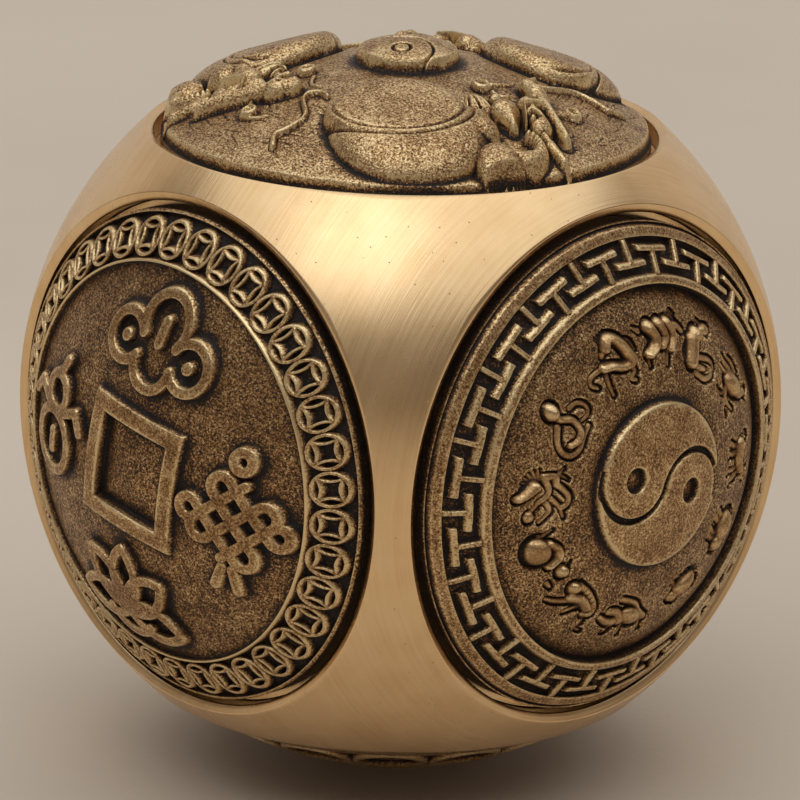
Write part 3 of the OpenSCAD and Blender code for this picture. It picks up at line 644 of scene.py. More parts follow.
def dragon(clay):
    clay.trail([(0.1, 1.5), (0.4, 1.05), (0.85, 0.55)], 0.4, 0.66, 0.5)
    mane = np.array((0.75, 0.2))
    for turn in range(0, 100, 18):
        clay.limb(mane + 0.5 * way(turn), mane + 1.1 * way(turn), 0.26, 0.08)
    clay.trail([(1.35, -0.1), (0.7, -0.45), (0.2, -0.35), (-0.2, 0.2)], 0.42, 0.3)
    clay.trail([
        (1.4, -0.2), (1.35, -0.85), (0.9, -0.95), (0.6, -1.3), (0.1, -1.75), (-0.4, -1.65), (-0.6, -1.3),
    ], 0.44, 0.3)
    clay.trail([(-0.3, -0.4), (-0.7, -0.6), (-1.1, -0.3), (-1.4, 0)], 0.34, 0.22)
    clay.limb((-0.4, 0.3), (-0.8, 0.65), 0.3, 0.24)
    clay.egg((-1.05, 0.7), 0.34, 0.3)
    clay.trail([(0, -0.7), (-0.5, -1.2), (-1.15, -1.5)], 0.3, 0.2)
    clay.limb((1.3, -0.9), (1.85, -1.35), 0.3, 0.12)
    clay.limb((1.5, -1.1), (1.15, -1.65), 0.22, 0.1)


ANIMALS = (snake, horse, goat, monkey, rooster, dog, pig, rat, ox, tiger, rabbit, dragon)


def zodiac_relief(relief):
    relief.polish[:] = 0.3
    relief.ring(DISC_R - 0.24, DISC_R - 0.1, -0.25, slope=0.06)
    relief.ring(FRET_IN_R, FRET_OUT_R, -BAND_DEPTH, polish=0)
    relief.ring(TAIJI_R, FRET_RING_IN_R, -FIELD_DEPTH, slope=0.12, polish=0)
    beside_ring = smooth_step((FRET_RING_IN_R - relief.r) / (2 * ZODIAC_MOAT))
    beside_taiji = smooth_step((relief.r - TAIJI_R) / TAIJI_MOAT)
    field = covered(to_ring(relief.r, (TAIJI_R + FRET_RING_IN_R) / 2, FRET_RING_IN_R - TAIJI_R), 0.1)
    relief.h -= field * (0.3 * (1 - beside_ring) + 0.12 * (1 - beside_taiji))
    for phase, root_r, edge_r in (
        (FRET_OUTER_PHASE, FRET_OUT_R, FRET_IN_R),
        (FRET_INNER_PHASE, FRET_IN_R, FRET_OUT_R),
    ):
        relief.level(fret_distance(relief, phase, root_r, edge_r), 0, polish=0.3)
    relief.wear_and_painted_light[relief.r < TAIJI_R] = 0.07
    x, y = turned(relief.x, relief.y, -TAIJI_TURN)
    half = TAIJI_R / 2
    for side in (-1, 1):
        wave = to_arc(x, y, (side * half, 0), half, 90 * side - 90, 90 * side + 90, 1.2 * TAIJI_LINE)
        relief.level(np.maximum(wave, relief.r - TAIJI_R), -FIELD_DEPTH, slope=0.1, polish=0)
        relief.level(np.hypot(x - side * half, y) - TAIJI_EYE_R, -BAND_DEPTH, slope=0.12, polish=0)
    reach, fat = 3.4, 0.07
    for i, animal in enumerate(ANIMALS):
        away = math.radians(ZODIAC_PHASE - 360 / len(ANIMALS) * i)
        centre = (ZODIAC_R * math.cos(away), ZODIAC_R * math.sin(away))
        clay = Clay.patch(relief, centre, math.degrees(away) - 90, reach, fat)
        animal(clay)
        clay.press(gain=1.5, moat=0.35, moat_w=0.5, polish=0.8)


# Beast medallion

def haunch(clay):
    """The big round back: a flat dome with a ridge round its lower edge, and a bulging band under it."""
    x, y = clay.x + 0.4, clay.y + 9.3
    half_x, half_y = 4.5, 3.3
    out_x, out_y = np.abs(x - 0.5), np.abs(y + 0.6)
    fullness = np.where(x > 0.5, 2.6, 2.0)
    reach_x = np.where(x > 0.5, 5.2, 4.75)
    band = (((out_x / reach_x) ** fullness + (out_y / 5.0) ** fullness) ** (1 / fullness) - 1) * 4.75
    clay.swell(np.maximum(band, y - 0.9), 2.0, 0.92 * BEAST_H)
    dome = (np.hypot(x / half_x, y / half_y) - 1) * half_y
    upper = smooth_step((y + 1.5) / 3)
    clay.swell(dome, 0.4 + 0.9 * upper, BEAST_H * (0.94 + 0.06 * upper))
    below = y - 1.2
    clay.carve(np.maximum(to_ring(dome, -0.38, 0.1), below), 0.18, 0.14)
    clay.carve(np.maximum(to_ring(dome, 0.07, 0.1), below), 0.24, 0.14)
    clay.h += 0.08 * covered(np.maximum(to_ring(dome, -0.15, 0.14), below), 0.14)
    clay.carve(to_arc(clay.x, clay.y, (0.2, -9.3), 2.8, 120, 215, 0.1, 0.3), 0.05, 0.3)


def shoulder(clay):
    """Two round lumps beside the haunch and a tuft of ribs above them."""
    clay.egg((5.85, -12.95), 1.55, 1.6, 0, 0.85 * BEAST_H)
    clay.egg((4.75, -10.5), 1.08, 1.05, 0, 0.9 * BEAST_H)
    clay.carve(to_segment(clay.x, clay.y, (4.75, -9.5), (4.72, -10.1), 0.07), 0.15)
    clay.egg((4.4, -7.5), 1.25, 0.75, -50, 0.8)
    root = np.array((3.7, -6.4))
    for turn in range(-100, 0, 18):
        clay.carve(to_segment(clay.x, clay.y, root, root + 2 * way(turn), 0.05, 0.12), 0.3)


def beast_head(clay):
    """A long head that points to the middle, with cheek, ear, ribbed jaw and horn."""
    clay.limb((6.1, -7.9), (6.6, -9.3), 2.0, 0.7, 0.85 * BEAST_H)
    clay.trail([(7.5, -3.7), (8.0, -4.6), (8.6, -6.2), (9.3, -7.9), (9.8, -9.0)], 1.3, 0.7, 0.75 * BEAST_H)
    clay.egg((8.0, -4.6), 0.95, 0.75, 110, 0.85 * BEAST_H)
    clay.carve(np.hypot(clay.x - 8.0, clay.y + 4.4) - 0.16, 0.5)
    clay.limb((7.4, -6.3), (8.3, -8.4), 1.3, 1.5, 0.7 * BEAST_H)
    clay.carve(np.hypot(clay.x - 7.75, clay.y + 8) - 0.5, 0.5, 0.2)
    clay.egg((7.78, -8.0), 0.26, 0.3, 0, 0.75)
    clay.limb((7.2, -7.3), (7.35, -8.9), 0.24, 0.18, 1.25)
    clay.limb((7.2, -7.3), (8.4, -6.8), 0.24, 0.2, 1.25)
    jaw = np.array((6.95, -11.1))
    clay.carve(np.hypot(clay.x - jaw[0], clay.y - jaw[1]) - 0.9, 0.6, 0.4)
    clay.bend(jaw, 1.35, 200, 300, 0.45, 1.35, 0.95)
    clay.bend(jaw, 1.35, 300, 425, 1.35, 0.6, 0.95)
    for turn in range(-25, 60, 14):
        clay.carve(to_segment(clay.x, clay.y, jaw + 0.7 * way(turn), jaw + 1.45 * way(turn), 0.09), 0.3)
    clay.trail([(8.5, -9.3), (9.2, -10.6), (10.4, -11.8)], 0.6, 0.3, 0.6)
    clay.limb((8.9, -10.0), (9.7, -11.1), 0.8, 0.6, 0.6)


def beast_details(clay):
    """Paw, curls and a long curved whisker on the ground before the head."""
    clay.limb((9.0, -5.7), (10.0, -5.3), 0.3, 0.7)
    clay.bend((10.25, -5.1), 0.38, 0, 360, 0.36, 0.36, 0.45)
    clay.trail([(10.6, -5.0), (10.65, -4.3), (10.4, -3.6)], 0.34, 0.12)
    clay.bend((4.6, -4.5), 0.42, 0, 360, 0.4, 0.4, 0.5)
    clay.bend((5.8, -5.3), 0.5, 190, 350, 0.36, 0.2, 0.45)
    clay.egg((5.5, -6.0), 0.4, 0.3, 30, 0.5)
    clay.trail([(5.2, -3.6), (5.9, -3.3), (6.4, -2.9), (6.6, -2.2)], 0.34, 0.14)
    clay.trail([
        (7.9, -0.9), (7.6, -1.6), (7.8, -2.3), (8.6, -2.2), (9.9, -1.2), (10.8, -0.9),
    ], 0.26, 0.34, 0.35)
    clay.trail([(10.8, -0.9), (11.8, -1.4), (12.4, -1.8), (13.3, -1.4)], 0.34, 0.4, 0.35)


def beast_sector(relief, forms):
    """Models one set of forms, three times round, over whatever is there already."""
    sector, first = 120, -125
    moat, moat_w, free_h = 0.12, 0.5, 0.3
    angle = np.radians(np.mod(relief.angle - first, sector) + first)
    everywhere = np.ones(relief.r.shape, bool)
    clay = Clay(relief, relief.r * np.cos(angle), relief.r * np.sin(angle), everywhere)
    forms(clay)
    form = clay.h.reshape(relief.h.shape) * smooth_step((DISC_R - relief.r) / 0.5)
    beside = smooth_step(1 + form / moat_w) * smooth_step(1 - relief.h / free_h)
    relief.h = np.where(form > np.maximum(relief.h, 0), form, relief.h - moat * beside)
    relief.polish = np.where(form > 0, 0.15, relief.polish)


def scratches(relief):
    """Fine strokes chased into the bare ground, roughly along the rim."""
    chance = np.random.default_rng(5)
    for _ in range(380):
        radius, angle = chance.uniform(8.5, DISC_R - 1.1), chance.uniform(0, 360)
        half = way(angle + 90 + chance.normal(0, 16)) * chance.uniform(0.3, 0.8)
        middle = way(angle) * radius
        near = np.hypot(relief.x - middle[0], relief.y - middle[1]) < 1.2
        stroke = to_segment(relief.x[near], relief.y[near], middle - half, middle + half, 0.03, 0.09)
        relief.h[near] -= 0.1 * covered(stroke, 0.1)


def beast_relief(relief):
    # Painted light: the whole top medallion made lighter, as if lit from above
    relief.wear_and_painted_light[:] = 0.11
    scratches(relief)
    for forms in (haunch, shoulder, beast_head, beast_details):
        beast_sector(relief, forms)
    button = Clay.patch(relief, (0, 0), 0, BUTTON_R + 0.4)
    radius = np.hypot(button.x, button.y)
    button.swell(radius - BUTTON_R, 0.35, BUTTON_H)
    button.h -= 0.4 * BUTTON_H * np.minimum(radius / BUTTON_R, 1) ** 2
    dot = (-0.35, -1.65)
    ring = np.hypot(button.x - dot[0], button.y - dot[1])
    button.carve(to_ring(ring, 0.55, 0.2), 0.25, 0.12)
    button.carve(to_arc(button.x, button.y, dot, 1.95, -45, 90, 0.1, 0.26), 0.28, 0.12)
    button.carve(to_segment(button.x, button.y, (-0.35, 0.3), (-1.4, 0.6), 0.24, 0.1), 0.28, 0.12)
    button.press(gain=1.0, polish=0.2)


# Medallions that the photograph doesn't show

def petal_distance(round_x, out_y, from_r, to_r, half_w):
    """A pointed petal that lies outwards along a spoke."""
    half_l = (to_r - from_r) / 2
    radius = (half_l ** 2 + half_w ** 2) / (2 * half_w)
    middle = out_y - (from_r + to_r) / 2
    return np.hypot(np.abs(round_x) + radius - half_w, middle) - radius


def lotus_relief(relief):
    field_r = FRET_OUT_R - 2 * RIM_W
    bead_ring_r = (field_r + DISC_R - RIM_W) / 2
    eye_r = 4.0
    relief.ring(0, field_r, -MOAT_DEPTH)
    relief.ring(field_r, DISC_R - RIM_W, -BAND_DEPTH)
    round_x, out_y = relief.folded(60, 0)
    relief.level(np.hypot(round_x, out_y - bead_ring_r) - (DISC_R - RIM_W - field_r) / 3, 0, 0.2, polish=0.6)
    for phase, to_r, half_w, height in (
        (22.5, field_r - RIM_W, 2.4, FIELD_DEPTH),
        (0, field_r - 3, 1.9, FIELD_DEPTH / 2),
    ):
        round_x, out_y = relief.folded(8, phase)
        distance = petal_distance(round_x, out_y, eye_r - 1, to_r, half_w)
        relief.level(distance, -height, slope=0.2, polish=0.3)
        relief.level(np.maximum(np.abs(round_x) - 0.05, distance + 0.6), -height - 0.12, slope=0.12)
    relief.level(relief.r - eye_r, 0, slope=0.16, polish=0.3)
    round_x, out_y = relief.folded(6, 0)
    relief.level(np.hypot(round_x, out_y - eye_r * 0.6) - 0.5, -FIELD_DEPTH, slope=0.16, polish=0)


# Each trigram's three bars as three bits, 1 where the bar is whole
TRIGRAM_CODES = (7, 3, 2, 1, 0, 4, 5, 6)


def trigram_relief(relief):
    bar_w, bar_l, blossom_r = 0.6, 3.4, 1.25
    relief.polish[:] = 0.3
    relief.ring(FRET_IN_R, FRET_OUT_R, -BAND_DEPTH, polish=0)
    relief.ring(TAIJI_R, FRET_RING_IN_R, -FIELD_DEPTH, polish=0)
    relief.ring(0, TAIJI_R - TAIJI_MOAT / 2, -FIELD_DEPTH, polish=0)
    round_x, out_y = relief.folded(FRET_COUNT, 9)
    stud_r = (FRET_OUT_R - FRET_IN_R) / 3
    relief.level(np.hypot(round_x, out_y - (FRET_IN_R + FRET_OUT_R) / 2) - stud_r, 0, 0.2, polish=0.5)
    for i, code in enumerate(TRIGRAM_CODES):
        away = 90 - i * 45
        x, y = turned(relief.x, relief.y, away)
        x = x - (TAIJI_R + FRET_RING_IN_R) / 2
        for row in range(3):
            bar = to_box(x - 2 * (row - 1) * bar_w, y, bar_w / 2, bar_l / 2)
            if not code >> row & 1:
                bar = np.maximum(bar, bar_w * 0.6 - np.abs(y))
            relief.level(bar, FIGURE_H, slope=0.16, polish=0.45)
    round_x, out_y = relief.folded(5, 90)
    petals = np.minimum(np.hypot(round_x, out_y - blossom_r * 1.6), relief.r) - blossom_r
    relief.level(petals, FIGURE_H, slope=0.2, polish=0.4)


def standing_relief(relief):
    scallops = 16
    scallop_r = FRET_RING_IN_R * math.sin(math.pi / scallops) + COIN_LINE / 4
    relief.polish[:] = 0.3
    relief.ring(BOSS_R + TAIJI_MOAT, FRET_OUT_R, -FIELD_DEPTH, polish=0)
    relief.ring(BOSS_R, BOSS_R + TAIJI_MOAT, -MOAT_DEPTH, polish=0)
    round_x, out_y = relief.folded(scallops, 0)
    ring = np.hypot(round_x, out_y - FRET_RING_IN_R)
    relief.level(to_ring(ring, scallop_r - COIN_LINE, 2 * COIN_LINE), 0, slope=0.14, polish=0.5)
    boss = np.sqrt((DOME_R + BOSS_H) ** 2 + relief.r ** 2) - DOME_R
    relief.h += (boss - relief.h) * covered(relief.r - BOSS_R, 0.1)


RELIEFS = {
    "front": coin_relief,
    "right": zodiac_relief,
    "top": beast_relief,
    "back": lotus_relief,
    "left": trigram_relief,
    "bottom": standing_relief,
}


# How worn a relief is, where its patina lies, and the light and shade painted on it

def blurred(field, reach):
    """The field averaged over about reach grid lines on each side, three times over for a soft edge."""
    size = 2 * reach + 1
    for _ in range(3):
        for axis in (0, 1):
            padded = np.pad(field, [(reach + 1, reach) if k == axis else (0, 0) for k in (0, 1)], "edge")
            total = np.cumsum(padded, axis=axis)
            upper = np.take(total, range(size, total.shape[axis]), axis=axis)
            lower = np.take(total, range(0, total.shape[axis] - size), axis=axis)
            field = (upper - lower) / size
    return field


def tone(relief):
    """From 0, black patina in the corners, through 0.5 on flat ground, to 1, rubbed bright on the edges; the
    top medallion also painted lighter.
    """
    per_mm = (relief.count - 1) / (2 * DISC_R)
    shade = 0.5 + 0.12 * relief.polish + relief.wear_and_painted_light
    for reach_mm, dark, bright in ((0.4, 1.7, 0.2), (0.16, 1.5, 0.4), (0.06, 1.0, 3.0)):
        proud = relief.h - blurred(relief.h, max(1, round(reach_mm * per_mm)))
        shade += dark * np.minimum(proud, 0) + bright * np.maximum(proud, 0)
    return np.clip(shade, 0, 1)


def sampled(relief, field, x, y):
    """A field of the grid read at any places of the disc."""
    radius = np.hypot(x, y)
    angle = np.arctan2(y, x)
    wide = np.abs(np.cos(angle)) > np.abs(np.sin(angle))
    reach = np.where(wide, np.sign(x), np.sign(y)) * radius / DISC_R
    across = np.where(wide, y, x) / np.where(np.where(wide, x, y) == 0, 1, np.where(wide, x, y))
    other = reach * np.arctan(across) * 4 / math.pi
    a, b = np.where(wide, reach, other), np.where(wide, other, reach)
    column = np.clip((a + 1) / 2 * (relief.count - 1), 0, relief.count - 1.001)
    row = np.clip((b + 1) / 2 * (relief.count - 1), 0, relief.count - 1.001)
    c, r = column.astype(int), row.astype(int)
    s, t = column - c, row - r
    low = field[r, c] * (1 - s) + field[r, c + 1] * s
    high = field[r + 1, c] * (1 - s) + field[r + 1, c + 1] * s
    return low * (1 - t) + high * t


def rim_rows(relief):
    """Rings of points that carry on from the grid's border over a rounded edge to the medallion's back."""
    index = np.arange(relief.count ** 2).reshape(relief.count, relief.count)
    border = np.concatenate([index[0, :-1], index[:-1, -1], index[-1, :0:-1], index[:0:-1, 0]])
    angle = np.radians(relief.angle.ravel()[border])
    across, up = np.cos(angle), np.sin(angle)
    rows = []
    for radius, z in ((DISC_R, WALL_TOP_Z), (DISC_R, BACK_Z), (DISC_R - 2, BACK_Z), (NEAR, BACK_Z)):
        rows.append(np.stack([radius * across, radius * up, np.full_like(angle, z)], axis=1))
    return border, rows


def relief_mesh(face, relief, most_triangles):
    """The relief with its wall and back, thinned to a number of triangles."""
    count = relief.count
    border, rows = rim_rows(relief)
    points = relief.points().reshape(-1, 3)
    edge = len(border)
    added = count ** 2 + np.arange(len(rows) * edge).reshape(len(rows), edge)
    ring = np.concatenate([border[None, :], added])
    ring = np.column_stack([ring, ring[:, 0]])
    wall = np.stack([ring[:-1, :-1], ring[1:, :-1], ring[1:, 1:], ring[:-1, 1:]], axis=-1).reshape(-1, 4)
    faces = np.concatenate([grid_faces(count, count), wall])
    piece = mesh_object(face + "_relief", to_world(face, np.concatenate([points] + rows)), faces)
    triangles = 2 * len(faces)
    piece = worked(piece, "DECIMATE", ratio=most_triangles / triangles)
    return piece


def store_wear_and_painted_shade(piece, face, relief):
    """Gives each point of a medallion its tone and polish, and its wall painted light and shade: lighter on
    the top medallion, darker deeper into the pocket gap on the others.
    """
    at = np.zeros(len(piece.data.vertices) * 3, np.float32)
    piece.data.vertices.foreach_get("co", at)
    local = at.reshape(-1, 3) / MM @ np.array(FACES[face], float).T
    x, y, z = local.T
    radius = np.hypot(x, y)
    beside = (radius > DISC_R - NEAR) | (z < EDGE_Z - 1)
    # Painted light and shade on the wall and back: the top medallion's wall is painted lighter as lit from
    # above, the others' walls get painted shade that deepens below the edge.
    wall_lit_tone, wall_shade_gain = (0.75, 0) if face == "top" else (0.55, 1)
    wall_polish = 0.1
    store(piece, "tone", np.where(beside, wall_lit_tone, sampled(relief, tone(relief), x, y)))
    store(piece, "painted_wall_shade", np.where(beside, wall_shade_gain * (EDGE_Z - z), 0))
    store(piece, "polish", np.where(beside, wall_polish, sampled(relief, relief.polish, x, y)))
    sharpen(piece, (radius > DISC_R - NEAR) & (z > WALL_TOP_Z + NEAR))


def medallion(face):
    """One face's medallion, finer where the photograph shows it."""
    seen = face in SEEN_FACES
    count = SEEN_GRID if seen else HIDDEN_GRID
    relief = Relief(count, BEAST_DOME_R if face == "top" else DOME_R)
    RELIEFS[face](relief)
    piece = relief_mesh(face, relief, SEEN_TRIANGLES if seen else HIDDEN_TRIANGLES)
    store_wear_and_painted_shade(piece, face, relief)
    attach(piece, face + "_spinner")
    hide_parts(face + "_disc")
    return piece


# Turned ball

def pocket_profile():
    """Radius and height along a pocket from its mouth inwards, with the lips' corners slightly rounded."""
    soft = 0.05
    slope = math.atan2(LAND_DROP, LAND_W)
    return [
        (MOUTH_R - soft * math.cos(slope), MOUTH_Z - soft * math.sin(slope)),
        (MOUTH_R - LAND_W / 2, MOUTH_Z - LAND_DROP / 2),
        (POCKET_R + soft * math.cos(slope), LAND_Z + soft * math.sin(slope)),
        (POCKET_R, LAND_Z - soft),
        (POCKET_R, LAND_Z - 2 * soft),
        (POCKET_R, FLOOR_Z + 0.1),
        (POCKET_R, FLOOR_Z),
        (POCKET_R - 0.1, FLOOR_Z),
        (BEARING_R + 0.1, FLOOR_Z),
        (BEARING_R, FLOOR_Z),
        (BEARING_R, HOLE_Z + BEARING_RELIEF),
        (RELIEF_HOLE_R, HOLE_Z + BEARING_RELIEF),
        (RELIEF_HOLE_R, HOLE_Z),
        (0.01, HOLE_Z),
    ]


def ball():
    """The ball's skin and six pockets, in rows from where faces meet to each pocket's middle."""
    columns, rows = 360, 14
    turn = np.arange(columns) / columns * 2 * math.pi
    across, up = np.cos(turn), np.sin(turn)
    meeting = np.arctan(1 / np.maximum(np.abs(across), np.abs(up)))
    profile = pocket_profile()
    points, faces = [], []
    for face in FACES:
        grid = []
        for share in np.linspace(0, 1, rows):
            away = meeting + (MOUTH_ANGLE - meeting) * share
            out = BALL_R * np.sin(away)
            grid.append(np.stack([out * across, out * up, BALL_R * np.cos(away)], axis=1))
        for radius, z in profile:
            grid.append(np.stack([radius * across, radius * up, np.full_like(turn, z)], axis=1))
        start = sum(len(part) for part in points)
        points.append(to_ball(face, np.concatenate(grid)))
        faces.append(start + grid_faces(len(grid), columns, wrap=True)[:, ::-1])
    piece = mesh_object("ball_skin", np.concatenate(points), np.concatenate(faces))
    piece = worked(piece, "WELD", merge_threshold=1e-6)
    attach(piece, "ball")
    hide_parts("body")
    return piece


# Materials

def fill_ramp(ramp, stops):
    """Sets a colour ramp's stops, each a place with a colour or a grey."""
    band = ramp.color_ramp
    while len(band.elements) < len(stops):
        band.elements.new(0.5)
    for element, (at, colour) in zip(band.elements, stops):
        element.position = at
        element.color = (*colour, 1) if isinstance(colour, tuple) else (colour, colour, colour, 1)


class Paint:
    """A material's node tree, built from short calls."""

    def __init__(self, name):
        self.material = bpy.data.materials.new(name)
        self.material.use_nodes = True
        self.tree = self.material.node_tree
        self.shader = self.tree.nodes["Principled BSDF"]
        place = self.tree.nodes.new("ShaderNodeTexCoord")
        self.place = place.outputs["Object"]

    def link(self, value, socket):
        if isinstance(value, bpy.types.NodeSocket):
            self.tree.links.new(value, socket)
        else:
            socket.default_value = value

    def node(self, kind, output=0, inputs=(), **settings):
        made = self.tree.nodes.new("ShaderNode" + kind)
        for key, value in settings.items():
            setattr(made, key, value)
        for key, value in dict(inputs).items():
            self.link(value, made.inputs[key])
        return made.outputs[output]

    def attribute(self, name):
        return self.node("Attribute", "Fac", attribute_name=name)

    def math(self, operation, a, b=0.0, c=0.0):
        return self.node("Math", operation=operation, inputs={0: a, 1: b, 2: c})

    def noise(self, grain_mm, detail=2.0, vector=None, rough=0.5):
        scale = 1 / (grain_mm * MM)
        inputs = {"Vector": vector or self.place, "Scale": scale, "Detail": detail, "Roughness": rough}
        return self.node("TexNoise", "Fac", inputs)

    def stretched(self, scale):
        """The place scaled by each axis, for marks that are longer one way."""
        return self.node("VectorMath", inputs={0: self.place, 1: scale}, operation="MULTIPLY")

    def ramp(self, value, stops):
        made = self.tree.nodes.new("ShaderNodeValToRGB")
        fill_ramp(made, stops)
        self.link(value, made.inputs[0])
        return made.outputs[0]

    def bump(self, height, distance_mm, strength=1.0, normal=None):
        inputs = {"Height": height, "Distance": distance_mm * MM, "Strength": strength}
        if normal is not None:
            inputs["Normal"] = normal
        return self.node("Bump", "Normal", inputs)

    def finish(self, **inputs):
        for key, value in inputs.items():
            self.link(value, self.shader.inputs[key.replace("_", " ")])
        return self.material


def turned_brass():
    """Satin brass with fine turning lines round the lathe's axis, pits and faint stains."""
    paint = Paint("turned brass")
    lines = paint.noise(0.16, 3, paint.stretched((1, 0.015, 0.015)), 0.75)
    broad = paint.noise(1.2, 2, paint.stretched((1, 0.1, 0.1)))
    stain = paint.noise(3.0, 4)
    pits = paint.node("TexVoronoi", "Distance", {"Vector": paint.place, "Scale": 1 / (0.9 * MM)})
    pit = paint.ramp(pits, [(0.0, 1.0), (0.035, 1.0), (0.055, 0.0)])
    tint = paint.math("MULTIPLY_ADD", stain, 0.4, paint.math("MULTIPLY", broad, 0.25))
    tint = paint.math("MULTIPLY_ADD", lines, 0.35, tint)
    colour = paint.ramp(tint, [
        (0.3, (0.74, 0.49, 0.24)),
        (0.5, (0.87, 0.61, 0.33)),
        (0.7, (0.94, 0.70, 0.42)),
    ])
    pitted = {0: paint.math("MULTIPLY", pit, 0.6), 6: colour, 7: (0.20, 0.11, 0.05, 1)}
    dulled = paint.node("Mix", 2, pitted, data_type="RGBA")
    rough = paint.math("MULTIPLY_ADD", broad, 0.12, 0.2)
    normal = paint.bump(pit, -0.02, normal=paint.bump(lines, 0.012))
    tangent = paint.node("Tangent", direction_type="RADIAL", axis="X")
    paint.finish(Anisotropic=0.55, Tangent=tangent)
    return paint.finish(Base_Color=dulled, Metallic=1.0, Roughness=rough, Normal=normal)


def antique_brass():
    """Cast brass with black patina in its recesses, a sanded grain, rubbed bright edges, and painted shade
    on the walls.
    """
    paint = Paint("antique brass")
    # Tone: patina, wear and, on the top medallion, painted light
    worn_and_lit_tone = paint.attribute("tone")
    polish = paint.attribute("polish")
    cells = paint.node("TexVoronoi", "Color", {"Vector": paint.place, "Scale": 1 / (0.085 * MM)})
    grain = paint.node("SeparateColor", 0, {0: cells})
    sand = paint.noise(0.14, 2, rough=0.6)
    patch = paint.noise(1.8, 4, rough=0.65)
    rough_share = paint.math("SUBTRACT", 1.15, polish)
    sandy = paint.math("SUBTRACT", sand, 0.5)
    speckle = paint.math("MULTIPLY_ADD", paint.math("SUBTRACT", grain, 0.5), 0.38, sandy)
    level = paint.math("MULTIPLY_ADD", speckle, rough_share, worn_and_lit_tone)
    level = paint.math("MULTIPLY_ADD", paint.math("SUBTRACT", patch, 0.5), 0.5, level)
    # Painted shade on the walls, darker deeper below the medallion's edge, into the shaded pocket gap
    painted_wall_shade = paint.ramp(paint.attribute("painted_wall_shade"), [(0.1, 0.0), (0.4, 0.45)])
    level = paint.math("SUBTRACT", level, painted_wall_shade)
    colour = paint.ramp(level, [
        (0.12, (0.006, 0.004, 0.005)),
        (0.32, (0.055, 0.025, 0.011)),
        (0.50, (0.26, 0.135, 0.055)),
        (0.68, (0.51, 0.32, 0.15)),
        (0.88, (0.85, 0.66, 0.37)),
    ])
    metal = paint.ramp(level, [(0.2, 0.2), (0.5, 0.9), (0.7, 1.0)])
    rough = paint.ramp(level, [(0.2, 0.6), (0.55, 0.42), (0.85, 0.28)])
    height = paint.math("MULTIPLY", paint.math("ADD", sand, paint.math("MULTIPLY", grain, 0.4)), rough_share)
    return paint.finish(Base_Color=colour, Metallic=metal, Roughness=rough, Normal=paint.bump(height, 0.05))


def ground_steel(name, colour, roughness):
    """Ground steel with fine marks and a little dried oil."""
    paint = Paint(name)
    marks = paint.noise(0.12, 3)
    oil = paint.noise(1.5, 3)
    shade = paint.ramp(oil, [(0.3, tuple(0.75 * part for part in colour)), (0.7, colour)])
    rough = paint.math("MULTIPLY_ADD", oil, 0.2, roughness)
    return paint.finish(Base_Color=shade, Metallic=1.0, Roughness=rough, Normal=paint.bump(marks, 0.004))


def pale_floor():
    """A pale matt table top."""
    paint = Paint("pale floor")
    cloudy = paint.noise(60, 3)
    colour = paint.ramp(cloudy, [(0.3, (0.66, 0.57, 0.47)), (0.7, (0.71, 0.62, 0.52))])
    return paint.finish(Base_Color=colour, Roughness=0.7, Normal=paint.bump(paint.noise(0.6, 3), 0.02))


# Studio

CAMERA_AZIMUTH = -44.293
CAMERA_ELEVATION = 17.430
CAMERA_ROLL = -1.225
CAMERA_DISTANCE = 319.94
FOCAL_PIXELS = 5060.9
IMAGE_PIXELS = 800
BALL_AT_PIXELS = (400.31, 398.63)


def direction(azimuth, elevation):
    azimuth, elevation = math.radians(azimuth), math.radians(elevation)
    return Vector((
        math.cos(elevation) * math.cos(azimuth),
        math.cos(elevation) * math.sin(azimuth),
        math.sin(elevation),
    ))


def aim(thing, place, roll=0.0):
    """Sets a camera or lamp at a place, looking at the ball's centre."""
    back = Vector(place).normalized()
    right = Vector((0, 0, 1)).cross(back).normalized()
    up = back.cross(right)
    turn = Matrix((right, up, back)).transposed() @ Matrix.Rotation(-math.radians(roll), 3, "Z")
    thing.matrix_world = Matrix.Translation(place) @ turn.to_4x4()


def camera():
    lens = bpy.data.cameras.new("camera")
    lens.lens = FOCAL_PIXELS / IMAGE_PIXELS * lens.sensor_width
    lens.shift_x = (IMAGE_PIXELS / 2 - BALL_AT_PIXELS[0]) / IMAGE_PIXELS
    lens.shift_y = (BALL_AT_PIXELS[1] - IMAGE_PIXELS / 2) / IMAGE_PIXELS
    lens.clip_start = 0.01
    lens.clip_end = 10
    holder = bpy.data.objects.new("camera", lens)
    bpy.context.scene.collection.objects.link(holder)
    aim(holder, direction(CAMERA_AZIMUTH, CAMERA_ELEVATION) * CAMERA_DISTANCE * MM, CAMERA_ROLL)
    bpy.context.scene.camera = holder


def soft_lamp(name, azimuth, elevation, distance, size, watts, colour=(1, 1, 1)):
    lamp = bpy.data.lights.new(name, "AREA")
    lamp.shape = "DISK"
    lamp.size = size
    lamp.energy = watts
    lamp.color = colour
    holder = bpy.data.objects.new(name, lamp)
    bpy.context.scene.collection.objects.link(holder)
    aim(holder, direction(azimuth, elevation) * distance)


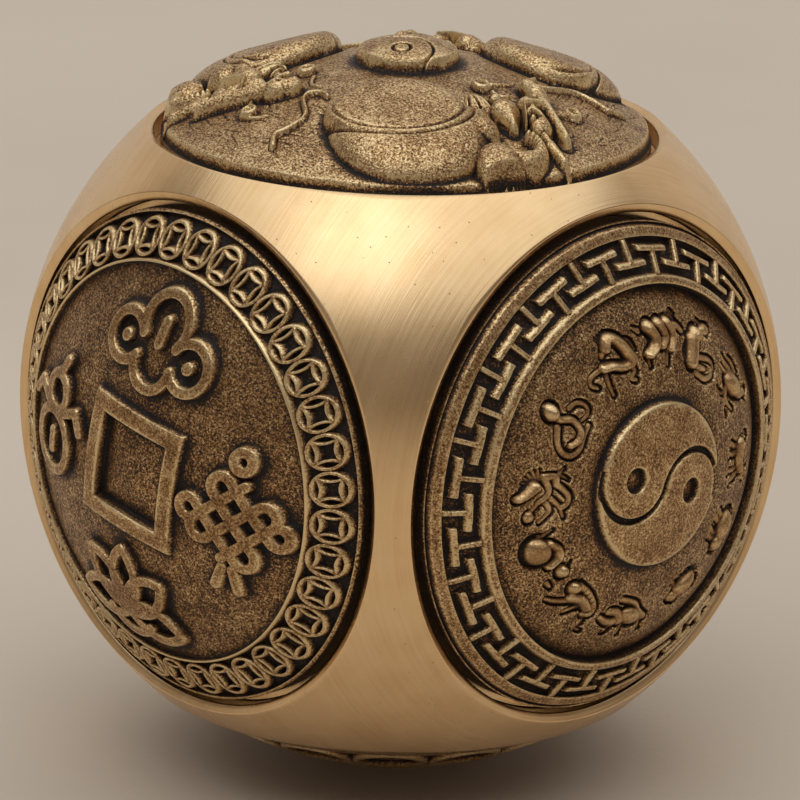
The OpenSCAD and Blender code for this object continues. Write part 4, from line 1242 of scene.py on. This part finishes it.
def studio_light():
    """A soft room: bright above, dim in front, and a pale wall behind the ball."""
    world = bpy.data.worlds.new("studio")
    bpy.context.scene.world = world
    world.use_nodes = True
    tree = world.node_tree
    place = tree.nodes.new("ShaderNodeTexCoord")
    parts = tree.nodes.new("ShaderNodeSeparateXYZ")
    ramp = tree.nodes.new("ShaderNodeValToRGB")
    tree.links.new(place.outputs["Generated"], parts.inputs[0])
    tree.links.new(parts.outputs["Z"], ramp.inputs[0])
    fill_ramp(ramp, [
        (0.0, (0.42, 0.36, 0.30)),
        (0.10, (0.40, 0.34, 0.28)),
        (0.20, (0.15, 0.12, 0.10)),
        (0.60, (0.17, 0.15, 0.13)),
        (0.72, (0.95, 0.94, 0.93)),
        (1.0, (1.12, 1.12, 1.10)),
    ])
    away = tree.nodes.new("ShaderNodeVectorMath")
    away.operation = "DOT_PRODUCT"
    away.inputs[1].default_value = -direction(CAMERA_AZIMUTH, 0)
    tree.links.new(place.outputs["Generated"], away.inputs[0])
    wall = tree.nodes.new("ShaderNodeValToRGB")
    fill_ramp(wall, [(0.25, (0, 0, 0)), (0.6, (0.52, 0.47, 0.42))])
    tree.links.new(away.outputs["Value"], wall.inputs[0])
    both = tree.nodes.new("ShaderNodeMix")
    both.data_type = "RGBA"
    both.blend_type = "LIGHTEN"
    both.inputs[0].default_value = 1
    tree.links.new(ramp.outputs[0], both.inputs[6])
    tree.links.new(wall.outputs[0], both.inputs[7])
    tree.links.new(both.outputs[2], tree.nodes["Background"].inputs["Color"])


def floor():
    size = 900
    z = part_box("bottom_disc")[0].z / MM - 0.01
    points = np.array([(-size, -size, z), (size, -size, z), (size, size, z), (-size, size, z)], float)
    piece = mesh_object("floor", points, np.array([[0, 1, 2, 3]]))
    piece.data.materials.append(pale_floor())


def repaint(node, material):
    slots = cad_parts[node].material_slots
    for slot in slots:
        slot.material = material


# Everything together

camera()
studio_light()
soft_lamp("key", -72, 62, 0.6, 0.4, 0.25)
floor()

ball_piece = ball()
ball_piece.data.materials.append(turned_brass())

patina = antique_brass()
for face in FACES:
    medallion(face).data.materials.append(patina)

bearing_steel = ground_steel("bearing steel", (0.62, 0.63, 0.66), 0.18)
cage_steel = ground_steel("cage steel", (0.50, 0.48, 0.44), 0.3)
for face in FACES:
    for part in ("spindle", "outer_ring", "inner_ring", "balls", "shields"):
        repaint(f"{face}_{part}", bearing_steel)
    repaint(f"{face}_cage", cage_steel)

bpy.context.scene.view_settings.view_transform = "Standard"
